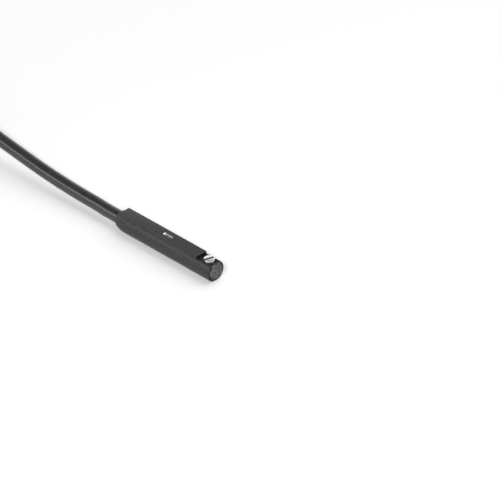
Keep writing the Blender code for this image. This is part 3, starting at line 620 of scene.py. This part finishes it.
def add_piece(name, bm, slot, body="sensor", replaced=(), place=AS_BUILT):
    """A finished piece: its place goes into its mesh, and it rides on a CAD body."""
    moved(bm, place)
    mesh = bpy.data.meshes.new(name)
    bm.to_mesh(mesh)
    bm.free()
    mesh.shade_smooth()
    mesh.set_sharp_from_angle(angle=SHARP_ANGLE)
    mesh.materials.append(finishes[slot])
    piece = bpy.data.objects.new(name, mesh)
    bpy.context.scene.collection.objects.link(piece)
    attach(piece, body)
    if replaced:
        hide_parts(*replaced)
    return piece


def add_camera():
    camera = bpy.data.objects.new("camera", bpy.data.cameras.new("camera"))
    back = Vector((math.sin(CAMERA_AZIMUTH) * math.cos(CAMERA_ELEVATION),
                   -math.cos(CAMERA_AZIMUTH) * math.cos(CAMERA_ELEVATION),
                   math.sin(CAMERA_ELEVATION)))
    camera.location = Vector(CAMERA_TARGET) + CAMERA_DISTANCE * back
    camera.rotation_mode = "QUATERNION"
    camera.rotation_quaternion = (-back).to_track_quat("-Z", "Y")
    camera.data.sensor_width = 36
    camera.data.lens = CAMERA_LENS
    camera.data.clip_start = 0.01
    camera.data.clip_end = 10
    bpy.context.scene.collection.objects.link(camera)
    bpy.context.scene.camera = camera


def smooth_curve(points, per_span=12):
    """A Catmull-Rom curve through the points, straight beyond its ends."""
    points = [Vector(point) for point in points]
    padded = [2 * points[0] - points[1]] + points + [2 * points[-1] - points[-2]]
    curve = []
    for before, start, end, after in zip(padded, padded[1:], padded[2:], padded[3:]):
        for step in range(per_span):
            t = step / per_span
            curve.append(0.5 * (2 * start + (end - before) * t
                                + (2 * before - 5 * start + 4 * end - after) * t ** 2
                                + (3 * start - before - 3 * end + after) * t ** 3))
    return curve + [points[-1]]


def evenly_spaced(points, spacing):
    """Reads points at an even spacing along a fine polyline, its ends kept."""
    lengths = [0.0]
    for first, second in zip(points, points[1:]):
        lengths.append(lengths[-1] + (second - first).length)
    count = max(2, round(lengths[-1] / spacing))
    chosen = []
    place = 0
    for step in range(count + 1):
        goal = lengths[-1] * step / count
        while place < len(points) - 2 and lengths[place + 1] < goal:
            place += 1
        part = (goal - lengths[place]) / (lengths[place + 1] - lengths[place])
        chosen.append(points[place].lerp(points[place + 1], part))
    return chosen


def eased(share):
    """A smooth step from 0 to 1."""
    share = min(1.0, max(0.0, share))
    return 0.5 - 0.5 * math.cos(math.pi * share)


def lane(x):
    """How far a run of the hank lies from the hank's long axis."""
    spread = (HANK_END_RADIUS - HANK_LANE) / 2
    quarter = HANK_RUN / 4
    bend = (quarter ** 2 + spread ** 2) / (2 * spread)
    along = min(abs(x - HANK_MIDDLE_X), HANK_RUN / 2)
    if along < quarter:
        return HANK_LANE + bend - math.sqrt(bend ** 2 - along ** 2)
    return HANK_END_RADIUS - bend + math.sqrt(bend ** 2 - (HANK_RUN / 2 - along) ** 2)


def lift(x):
    """How far a run rises over the tie."""
    return HANK_LIFT * (1 - eased((abs(x - HANK_MIDDLE_X) - TIE_WIDTH / 2) / HANK_LIFT_LENGTH))


def hank_route():
    """The lead's way over the near fold, round the hank from the top down, and to the plug."""
    route = []
    first_steps = 6
    run_steps = 14
    turn_steps = 12
    drop_start = 0.1
    heights = [CABLE_DIAMETER * (layer + 0.5) for layer in range(HANK_LAPS, -1, -1)]
    crossing = HANK_NEAR_X + HANK_END_RADIUS
    for step in range(first_steps):
        x = crossing + (HANK_MIDDLE_X - crossing) * step / first_steps
        rise = HANK_LIFT * (1 - (1 - step / first_steps) ** 2)
        aside = HANK_LANE * eased((step - 1) / (first_steps - 1))
        route.append((x, HANK_Y + aside, heights[0] + rise))
    for step in range(run_steps // 2):
        x = HANK_MIDDLE_X - HANK_RUN * step / run_steps
        route.append((x, HANK_Y + lane(x), heights[0] + lift(x)))
    for height, below in zip(heights, heights[1:]):
        for step in range(turn_steps + 1):
            angle = math.radians(90 + 180 * step / turn_steps)
            share = (step / turn_steps - drop_start) / (1 - drop_start)
            drop = (height - below) * eased(share)
            route.append((HANK_FAR_X + HANK_END_RADIUS * math.cos(angle),
                          HANK_Y + HANK_END_RADIUS * math.sin(angle), height - drop))
        for step in range(1, run_steps):
            x = HANK_FAR_X + HANK_RUN * step / run_steps
            route.append((x, HANK_Y - lane(x), below + lift(x)))
        for step in range(turn_steps + 1):
            angle = math.radians(-90 + 180 * step / turn_steps)
            route.append((HANK_NEAR_X + HANK_END_RADIUS * math.cos(angle),
                          HANK_Y + HANK_END_RADIUS * math.sin(angle), below))
        for step in range(1, run_steps):
            x = HANK_NEAR_X - HANK_RUN * step / run_steps
            route.append((x, HANK_Y + lane(x), below + lift(x)))
    start = Vector((HANK_FAR_X, HANK_Y + HANK_END_RADIUS, heights[-1]))
    mouth = Vector((PLUG_X, PLUG_Y, PLUG_Z))
    route.append(start)
    for along, across, rise in TAIL_SHARES:
        route.append(start + (mouth - start) * Vector((along, across, rise)))
    route += [mouth, (PLUG_X - SOCKET_DEPTH + CABLE_END_GAP, PLUG_Y, PLUG_Z)]
    return route


def add_cable():
    """The whole lead, from inside the housing to the plug, as one curve."""
    points = evenly_spaced(smooth_curve([*LEAD_ROUTE, *hank_route()]), CABLE_SPACING)
    curve = bpy.data.curves.new("cable", "CURVE")
    curve.dimensions = "3D"
    curve.bevel_depth = CABLE_DIAMETER / 2
    curve.bevel_resolution = 14
    curve.use_fill_caps = True
    spline = curve.splines.new("POLY")
    spline.points.add(len(points) - 1)
    for point, place in zip(spline.points, points):
        point.co = (*place, 1)
    spline.use_smooth = True
    curve.materials.append(finishes["cable_jacket"])
    cable = bpy.data.objects.new("cable", curve)
    bpy.context.scene.collection.objects.link(cable)
    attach(cable, "sensor")
    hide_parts("cable_lead", "cable_hank", "cable_tail")
    return cable


def nose_radius(distance):
    """The housing's radius at a distance from its rear rim."""
    share = max(0.0, 1 - distance / NOSE_LENGTH)
    return BODY_RADIUS - (BODY_RADIUS - RIM_RADIUS) * share ** 2


def add_housing():
    """The round shell with its flat-topped neck, its open front seat and its holes.

    Tools that share a plane can leave a stub behind. SLIVER, the count of faces round the tip hole
    and the order of the steps keep them apart, so that every run gives the same shell.
    """
    ways = [NOSE_LENGTH * step / NOSE_STEPS for step in range(NOSE_STEPS + 1)]
    nose = [(REAR + way, nose_radius(way)) for way in ways]
    nose[0] = (REAR + RIM_EDGE, nose[0][1])
    rim = [(REAR, 0), (REAR, RIM_RADIUS - RIM_EDGE)]
    front = softened([(FRONT - FRONT_EDGE * 3, BODY_RADIUS), (FRONT, BODY_RADIUS), (FRONT, 0)],
                     FRONT_EDGE, 4)
    body = turned([*rim, *nose, *front], LARGE_STEPS)
    half = NECK_WIDTH / 2
    foot = math.asin(half / BODY_RADIUS) + NECK_FILLET / BODY_RADIUS
    foot_y, foot_z = BODY_RADIUS * math.sin(foot), BODY_RADIUS * math.cos(foot)
    side = softened([(foot_y, foot_z), (half, SEAT_HEIGHT), (half, NECK_HEIGHT)],
                    NECK_FILLET * NECK_FILLET_REACH, 6)
    side = softened([*side[:-1], (half, NECK_HEIGHT), (0, NECK_HEIGHT)], NECK_EDGE, 3)[:-1]
    outline = [(0, 0), *[tuple(point) for point in side], *[(-y, z) for y, z in reversed(side)]]
    neck = extruded(outline, REAR + NECK_SETBACK, SEAT_REAR + SLIVER * 2, NECK_EDGE / 2,
                    (True, False))
    shoulder = CAVITY_RADIUS - CABLE_BORE_RADIUS
    hollow = turned([(REAR - OVERSHOOT, 0), (REAR - OVERSHOOT, CABLE_BORE_RADIUS + OVERSHOOT),
                     (REAR + RIM_EDGE, CABLE_BORE_RADIUS),
                     (CAVITY_REAR - shoulder, CABLE_BORE_RADIUS), (CAVITY_REAR, CAVITY_RADIUS),
                     (FRONT - 2 * RIM_EDGE, CAVITY_RADIUS),
                     (FRONT + OVERSHOOT, CAVITY_RADIUS + OVERSHOOT), (FRONT + OVERSHOOT, 0)],
                    LARGE_STEPS)
    above = BODY_RADIUS + OVERSHOOT
    slot = block((SEAT_REAR + SLIVER, -SLOT_WIDTH / 2, 0),
                 (FRONT + OVERSHOOT * 2, SLOT_WIDTH / 2, above + OVERSHOOT))
    inside = SLOT_WIDTH / 2 - SLIVER
    undercut = block((SEAT_REAR - UNDERCUT_LENGTH, -inside, SLIVER),
                     (SEAT_REAR + OVERSHOOT, inside, NECK_HEIGHT - ROOF_THICKNESS))
    chord = block((SEAT_REAR, -above, SEAT_HEIGHT), (FRONT + OVERSHOOT, above, above))
    at_screw = Matrix.Translation((SCREW_X, 0, 0)) @ UPRIGHT
    tip_hole = turned([(-above, 0), (-above, SCREW_HOLE_RADIUS), (-SLIVER, SCREW_HOLE_RADIUS),
                       (-SLIVER, 0)], TIP_HOLE_STEPS)
    at_window = Matrix.Translation((WINDOW_X, 0, 0)) @ UPRIGHT
    window_hole = turned([(0, 0), (0, WINDOW_RADIUS + FIT / 2),
                          (NECK_HEIGHT - FIT / 2, WINDOW_RADIUS + FIT / 2),
                          (NECK_HEIGHT + FIT, WINDOW_RADIUS + FIT * 2), (NECK_HEIGHT + FIT, 0)],
                         SMALL_STEPS)
    shell = shaped(body, ("DIFFERENCE", moved(tip_hole, at_screw)), ("UNION", neck),
                   ("DIFFERENCE", hollow), ("DIFFERENCE", moved(window_hole, at_window)),
                   ("DIFFERENCE", slot), ("DIFFERENCE", undercut), ("DIFFERENCE", chord))
    add_piece("housing_shell", shell, "housing_plastic", replaced=["housing"], place=SENSOR_AXIS)


def arc(radius, start, end, steps, centre=(0, 0)):
    """Points of an arc, with its angles in degrees."""
    points = []
    for step in range(steps + 1):
        angle = math.radians(start + (end - start) * step / steps)
        points.append((centre[0] + radius * math.cos(angle), centre[1] + radius * math.sin(angle)))
    return points


def add_clamp():
    """The clamp block in the seat, and the slotted screw through it."""
    half_key = SLOT_WIDTH / 2 - SEAT_GAP
    shoulder = math.degrees(math.acos(half_key / BLOCK_RADIUS))
    outline = [(-half_key, SEAT_HEIGHT), *arc(BLOCK_RADIUS, 180 - shoulder, 360 + shoulder, 72),
               (half_key, SEAT_HEIGHT)]
    body = extruded(outline, BLOCK_REAR, FRONT, BLOCK_EDGE, (False, True))
    above = BODY_RADIUS + OVERSHOOT
    step = block((BLOCK_REAR - OVERSHOOT, -BODY_RADIUS, BLOCK_HEIGHT),
                 (FRONT - LIP_THICKNESS, BODY_RADIUS, above))
    tongue_end = SCREW_X - SCREW_HOLE_RADIUS - TONGUE_GAP
    tongue = block((BLOCK_REAR - OVERSHOOT, -BODY_RADIUS, TONGUE_HEIGHT),
                   (tongue_end, BODY_RADIUS, above))
    at_screw = Matrix.Translation((SCREW_X, 0, 0)) @ UPRIGHT
    hole = turned([(-above, 0), (-above, SCREW_HOLE_RADIUS), (above, SCREW_HOLE_RADIUS),
                   (above, 0)], 64)
    wedge = shaped(body, ("DIFFERENCE", step), ("DIFFERENCE", tongue),
                   ("DIFFERENCE", moved(hole, at_screw)))
    settled = Matrix.Translation((0, BLOCK_SETTLE, -BLOCK_SETTLE))
    add_piece("clamp_wedge", wedge, "block_plastic", replaced=["clamp_block"],
              place=SENSOR_AXIS @ settled)

    rod = threaded(SCREW_TOP_HEIGHT - SCREW_LENGTH, SCREW_TOP_HEIGHT - SCREW_PLAIN_LENGTH / 2,
                   SCREW_RADIUS - FIT / 2, SCREW_ROOT_RADIUS, SCREW_PITCH, SCREW_CHAMFER)
    collar_start = SCREW_TOP_HEIGHT - SCREW_PLAIN_LENGTH
    collar = turned([(collar_start, 0), (collar_start, SCREW_RADIUS),
                     *softened([(SCREW_TOP_HEIGHT - SCREW_CHAMFER * 2, SCREW_RADIUS),
                                (SCREW_TOP_HEIGHT, SCREW_RADIUS), (SCREW_TOP_HEIGHT, 0)],
                               SCREW_CHAMFER, 4)])
    slot = block((SCREW_TOP_HEIGHT - SCREW_SLOT_DEPTH, -OVERSHOOT * 2, -SCREW_SLOT_WIDTH / 2),
                 (SCREW_TOP_HEIGHT + OVERSHOOT, OVERSHOOT * 2, SCREW_SLOT_WIDTH / 2))
    turn = Matrix.Rotation(SCREW_SLOT_TURN - math.pi / 2, 4, "Z") @ UPRIGHT
    screw = shaped(rod, ("UNION", collar), ("DIFFERENCE", slot))
    add_piece("threaded_clamp_screw", screw, "screw_steel", "clamp_screw", ["clamp_screw"],
              SENSOR_AXIS @ Matrix.Translation((SCREW_X, 0, 0)) @ turn)


def add_indicator():
    """The round window in the neck, and a plain printed scale beside it."""
    lens = softened([(NECK_HEIGHT - WINDOW_DEPTH, WINDOW_RADIUS),
                     (NECK_HEIGHT - FIT / 4, WINDOW_RADIUS), (NECK_HEIGHT + FIT / 4, 0)], FIT)
    window = turned([(NECK_HEIGHT - WINDOW_DEPTH, 0), *lens], SMALL_STEPS)
    add_piece("indicator_lens", window, "window_plastic", replaced=["indicator_window"],
              place=SENSOR_AXIS @ Matrix.Translation((WINDOW_X, 0, 0)) @ UPRIGHT)
    mark = bmesh.new()
    for place, length in enumerate(MARK_BARS):
        start = MARK_START + MARK_PITCH * place
        bar = block((start, -length / 2, NECK_HEIGHT),
                    (start + MARK_WIDTH, length / 2, NECK_HEIGHT + MARK_THICKNESS))
        mesh = bpy.data.meshes.new("bar")
        bar.to_mesh(mesh)
        bar.free()
        mark.from_mesh(mesh)
        bpy.data.meshes.remove(mesh)
    piece = add_piece("printed_scale", mark, "housing_plastic", place=SENSOR_AXIS)
    piece.data.materials[0] = moulded("printed_grey_ink", (0.42, 0.42, 0.43), 0.5, 0.07, 0.002, 0.4)


def add_tie():
    """The strap round the hank's waist, with its head and the cut end of its toothed tail."""
    high = TIE_TOP + TIE_THICKNESS
    half = TIE_HALF_WIDTH + TIE_THICKNESS

    def sleeve(half, low, high, corner):
        outline = []
        for y, z, start in ((half - corner, high - corner, 0), (corner - half, high - corner, 90),
                            (corner - half, low + corner, 180), (half - corner, low + corner, 270)):
            outline += arc(corner, start, start + 90, 8, (HANK_Y + y, z))
        return outline

    start, end = HANK_MIDDLE_X - TIE_WIDTH / 2, HANK_MIDDLE_X + TIE_WIDTH / 2
    strap = extruded(sleeve(half, 0.0, high, TIE_CORNER), start, end, TIE_EDGE)
    hollow = extruded(sleeve(TIE_HALF_WIDTH, TIE_THICKNESS, TIE_TOP, TIE_CORNER / 2),
                      start - OVERSHOOT, end + OVERSHOOT)
    half_head = TIE_HEAD_LENGTH / 2
    head = block((HANK_MIDDLE_X - TIE_HEAD_WIDTH / 2, HANK_Y - half_head, high - TIE_THICKNESS / 2),
                 (HANK_MIDDLE_X + TIE_HEAD_WIDTH / 2, HANK_Y + half_head, high + TIE_HEAD_HEIGHT),
                 TIE_HEAD_EDGE, 4)
    half_pocket = TIE_WIDTH * 0.36
    pocket = block((HANK_MIDDLE_X - half_pocket, HANK_Y - half_head * 0.5, high + TIE_THICKNESS),
                   (HANK_MIDDLE_X + half_pocket, HANK_Y + half_head * 0.35, high + OVERSHOOT * 2))
    stub_end = HANK_Y + half_head + TIE_STUB
    stub = block((start, HANK_Y, high - TIE_THICKNESS / 2), (end, stub_end, high + TIE_THICKNESS),
                 TIE_STUB_EDGE)
    steps = [("UNION", head), ("DIFFERENCE", pocket), ("UNION", stub)]
    valley = high + TIE_THICKNESS - TIE_TOOTH_DEPTH
    for tooth in range(TIE_TEETH):
        y = stub_end - TIE_TOOTH_START - tooth * TIE_TOOTH_PITCH
        gap = block((start + TIE_TOOTH_INSET, y - TIE_TOOTH_WIDTH / 2, valley),
                    (end - TIE_TOOTH_INSET, y + TIE_TOOTH_WIDTH / 2, high + OVERSHOOT))
        steps.append(("DIFFERENCE", gap))
    steps.append(("DIFFERENCE", hollow))
    add_piece("tie_strap", shaped(strap, *steps), "tie_plastic", replaced=["cable_tie"])


def add_grip():
    """The moulded grip, with its ribbed strain relief and its flutes."""
    socket = CABLE_DIAMETER / 2 + SOCKET_GAP
    profile = [(SOCKET_DEPTH, 0), (SOCKET_DEPTH, socket), (0, socket)]
    slope = (RELIEF_FRONT_RADIUS - RELIEF_REAR_RADIUS) / RELIEF_LENGTH
    for rib in range(RELIEF_RIBS):
        for share, sink in ((0.0, 0), (0.55, 0), (0.62, RELIEF_GROOVE), (0.93, RELIEF_GROOVE)):
            place = (rib + share) * RELIEF_LENGTH / RELIEF_RIBS
            profile.append((place, RELIEF_REAR_RADIUS + slope * place - sink))
    profile.append((RELIEF_LENGTH, RELIEF_FRONT_RADIUS))
    flange = GRIP_END - GRIP_FLANGE
    start = RELIEF_LENGTH + GRIP_START_GAP
    for step in range(GRIP_STEPS + 1):
        share = step / GRIP_STEPS
        profile.append((start + (flange - start) * share,
                        GRIP_REAR_RADIUS + (GRIP_FRONT_RADIUS - GRIP_REAR_RADIUS) * share))
    rim = COUPLING_RING_RADIUS - GRIP_FLANGE_STEP
    seat = GRIP_END - GRIP_SEAT_DEPTH
    profile += [(flange + GRIP_RIM_EDGE, rim), (GRIP_END - GRIP_RIM_EDGE, rim),
                (GRIP_END, rim - GRIP_RIM_EDGE), (GRIP_END, CARRIER_RADIUS + FIT),
                (seat, CARRIER_RADIUS + FIT), (seat, 0)]
    grip = turned(softened(profile, GRIP_EDGE), LARGE_STEPS)

    def fluted(x, radius):
        share = (x - start) / (flange - start)
        inside = 0 < share < 1 and radius > RELIEF_FRONT_RADIUS
        return math.sin(math.pi * share) ** 0.5 if inside else 0.0

    add_piece("moulded_grip", ridged(grip, GRIP_FLUTES, GRIP_FLUTE_DEPTH, fluted), "grip_plastic",
              replaced=["plug_grip"], place=PLUG_AXIS)


def add_coupling():
    """The coupling screw: a knurled ring and a threaded sleeve that turn on the carrier."""
    ring_end = COUPLING_START + COUPLING_RING_LENGTH
    neck_end = ring_end + COUPLING_NECK_LENGTH
    end = neck_end + COUPLING_THREAD_LENGTH
    top = COUPLING_RING_RADIUS
    low = top - COUPLING_EDGE
    joint = neck_end + COUPLING_OVERLAP
    ring = turned(softened([(COUPLING_START, 0), (COUPLING_START, low),
                            (COUPLING_START + COUPLING_EDGE, top), (ring_end - COUPLING_EDGE, top),
                            (ring_end, low), (ring_end, COUPLING_NECK_RADIUS),
                            (joint, COUPLING_NECK_RADIUS), (joint, 0)],
                           COUPLING_ROUNDING), COUPLING_KNURLS * 8)
    middle = (COUPLING_START + ring_end) / 2

    def knurled(x, radius):
        outside = radius > low - FIT
        share = abs(x - middle) * 2 / COUPLING_RING_LENGTH
        return max(0.0, 1 - share ** COUPLING_KNURL_POWER) if outside else 0.0

    ring = ridged(ring, COUPLING_KNURLS, COUPLING_KNURL_DEPTH, knurled)
    thread = threaded(neck_end, end, COUPLING_THREAD_RADIUS, COUPLING_ROOT_RADIUS, COUPLING_PITCH,
                      COUPLING_EDGE, 96)
    snap_start = CARRIER_START + SNAP_RING_START - COUPLING_GAP
    snap_end = snap_start + SNAP_RING_LENGTH + COUPLING_GAP * 2
    snap_radius = SNAP_RING_RADIUS + COUPLING_GAP
    bore = turned([(COUPLING_START - OVERSHOOT, 0), (COUPLING_START - OVERSHOOT, COUPLING_BORE),
                   (snap_start, COUPLING_BORE), (snap_start, snap_radius), (snap_end, snap_radius),
                   (snap_end, COUPLING_BORE), (end + OVERSHOOT, COUPLING_BORE),
                   (end + OVERSHOOT, 0)])
    screw = shaped(ring, ("UNION", thread), ("DIFFERENCE", bore))
    add_piece("knurled_coupling", screw, "coupling_nickel", "coupling_screw", ["coupling_screw"],
              PLUG_AXIS)


def add_contacts():
    """The contact carrier with its key, and the three pins in it."""
    end = CARRIER_START + CARRIER_LENGTH
    floor = end - CARRIER_CUP_DEPTH
    inside = CARRIER_RADIUS - CARRIER_WALL
    snap = CARRIER_START + SNAP_RING_START
    profile = [(CARRIER_START, 0), (CARRIER_START, CARRIER_RADIUS), (snap, CARRIER_RADIUS),
               (snap, SNAP_RING_RADIUS), (snap + SNAP_RING_LENGTH, SNAP_RING_RADIUS),
               (snap + SNAP_RING_LENGTH, CARRIER_RADIUS), (end, CARRIER_RADIUS), (end, inside),
               (floor, inside), (floor, 0)]
    key = block((floor - CARRIER_KEY_SETBACK, -CARRIER_KEY_WIDTH / 2, inside - CARRIER_KEY_HEIGHT),
                (end - CARRIER_KEY_SETBACK, CARRIER_KEY_WIDTH / 2, inside + CARRIER_WALL / 2),
                CARRIER_KEY_EDGE)
    tip = floor + PIN_LENGTH
    root = floor - PIN_ROOT
    steps = [("UNION", key)]
    for name, degrees in PIN_ANGLES.items():
        angle = math.radians(degrees)
        place = Matrix.Translation((0, PIN_CIRCLE_RADIUS * math.cos(angle),
                                    PIN_CIRCLE_RADIUS * math.sin(angle)))
        hole = turned([(root - FIT, 0), (root - FIT, PIN_RADIUS + FIT),
                       (floor + OVERSHOOT, PIN_RADIUS + FIT), (floor + OVERSHOOT, 0)], SMALL_STEPS)
        steps.append(("DIFFERENCE", moved(hole, place)))
        dome = [(tip - PIN_RADIUS + PIN_RADIUS * rise, PIN_RADIUS * reach)
                for reach, rise in arc(1, 0, 90, 8)[:-1]]
        pin = turned([(root, 0), (root, PIN_RADIUS), *dome, (tip, 0)], SMALL_STEPS)
        add_piece(f"gilded_{name}", pin, "pin_gold", replaced=[name], place=PLUG_AXIS @ place)
    carrier = shaped(turned(softened(profile, FIT)), *steps)
    add_piece("keyed_carrier", carrier, "carrier_plastic", replaced=["contact_carrier"],
              place=PLUG_AXIS)


def finish_cad_nodes():
    """Gives each CAD node that stays its procedural finish."""
    for name, node in cad_nodes.items():
        slot = slots[name]
        for place in range(len(node.material_slots)):
            node.material_slots[place].material = finishes[slot]


def seen_directly(builder):
    """1 for a ray from the camera, off gloss or through glass, 0 for light that falls on things."""
    seen = 0.0
    for kind in ("Is Camera Ray", "Is Glossy Ray", "Is Transmission Ray"):
        seen = builder.node("ShaderNodeLightPath", output=kind) + seen
    return seen.clamped()


def add_floor():
    """A pale floor that shows white with the object's shadow on it."""
    bm = bmesh.new()
    bmesh.ops.create_grid(bm, x_segments=1, y_segments=1, size=FLOOR_SIZE)
    mesh = bpy.data.meshes.new("floor")
    bm.to_mesh(mesh)
    bm.free()
    floor = bpy.data.objects.new("floor", mesh)
    bpy.context.scene.collection.objects.link(floor)
    finish = Finish("floor_paper", (0.8, 0.8, 0.8), 0.9, Specular_IOR_Level=0.0)
    paper = Value(finish, finish.shader.outputs[0])
    distance = finish.node("ShaderNodeVectorMath", {"operation": "LENGTH"}, {0: finish.place()},
                           output="Value")
    strength = distance.rising_from(FLOOR_NEAR, 1 / FLOOR_FADE)
    glow = finish.node("ShaderNodeEmission", {}, {"Color": (1, 1, 1, 1), "Strength": strength})
    bright = finish.node("ShaderNodeAddShader", {}, {0: paper, 1: glow})
    mixed = finish.node("ShaderNodeMixShader", {}, {0: seen_directly(finish), 1: paper, 2: bright})
    finish.join(finish.tree.nodes["Material Output"].inputs["Surface"], mixed)
    mesh.materials.append(finish.material)


def add_lamp(name, place, width, height, power):
    """A soft lamp that faces the object's long axis. Gloss shows the world instead of the lamps."""
    data = bpy.data.lights.new(name, "AREA")
    data.shape = "RECTANGLE"
    data.size = width
    data.size_y = height
    data.energy = power
    lamp = bpy.data.objects.new(name, data)
    lamp.visible_camera = False
    lamp.visible_glossy = False
    lamp.location = place
    lamp.rotation_mode = "QUATERNION"
    lamp.rotation_quaternion = Vector((0, -place[1], -place[2])).to_track_quat("-Z", "Y")
    bpy.context.scene.collection.objects.link(lamp)


def add_light():
    """The lamps, and a world that is white to the camera and has a dark ceiling and a bright strip
    in what gloss shows of it."""
    world = bpy.data.worlds.new("studio")
    world.use_nodes = True
    bpy.context.scene.world = world
    builder = Nodes(world.node_tree)
    background = world.node_tree.nodes["Background"]
    background.inputs["Color"].default_value = (1, 1, 1, 1)
    direction = builder.node("ShaderNodeTexCoord", output="Generated")
    height = builder.node("ShaderNodeSeparateXYZ", {}, {"Vector": direction}, output="Z")
    ceiling = height.rising_from(HORIZON_RISE, 1 / (CEILING_RISE - HORIZON_RISE))
    facing = builder.node("ShaderNodeVectorMath", {"operation": "DOT_PRODUCT"},
                          {0: direction, 1: STRIP_SIDE}, output="Value")
    strip = (facing.rising_from(STRIP_EDGE, STRIP_SIDE_SLOPE)
             * height.rising_from(STRIP_LOW, STRIP_HEIGHT_SLOPE)
             * height.falling_to(STRIP_HIGH, STRIP_HEIGHT_SLOPE))
    mirrored = 1.0 - ceiling * (1 - CEILING_LEVEL) + strip * STRIP_RISE
    camera = builder.node("ShaderNodeLightPath", output="Is Camera Ray")
    shown = camera + (1.0 - camera) * mirrored
    seen = seen_directly(builder)
    builder.join(background.inputs["Strength"], shown * seen + (1.0 - seen) * WORLD_LEVEL)
    for name, place, width, height, power in LAMPS:
        add_lamp(name, place, width, height, power)


slots = {entry["node"]: entry["material_slot"] for entry in frame["record"]["subparts"]}
finishes = make_finishes()
add_camera()
cable = add_cable()
add_housing()
add_clamp()
add_indicator()
add_tie()
add_grip()
add_coupling()
add_contacts()
finish_cad_nodes()
add_floor()
add_light()
bpy.context.scene.view_settings.view_transform = "Standard"
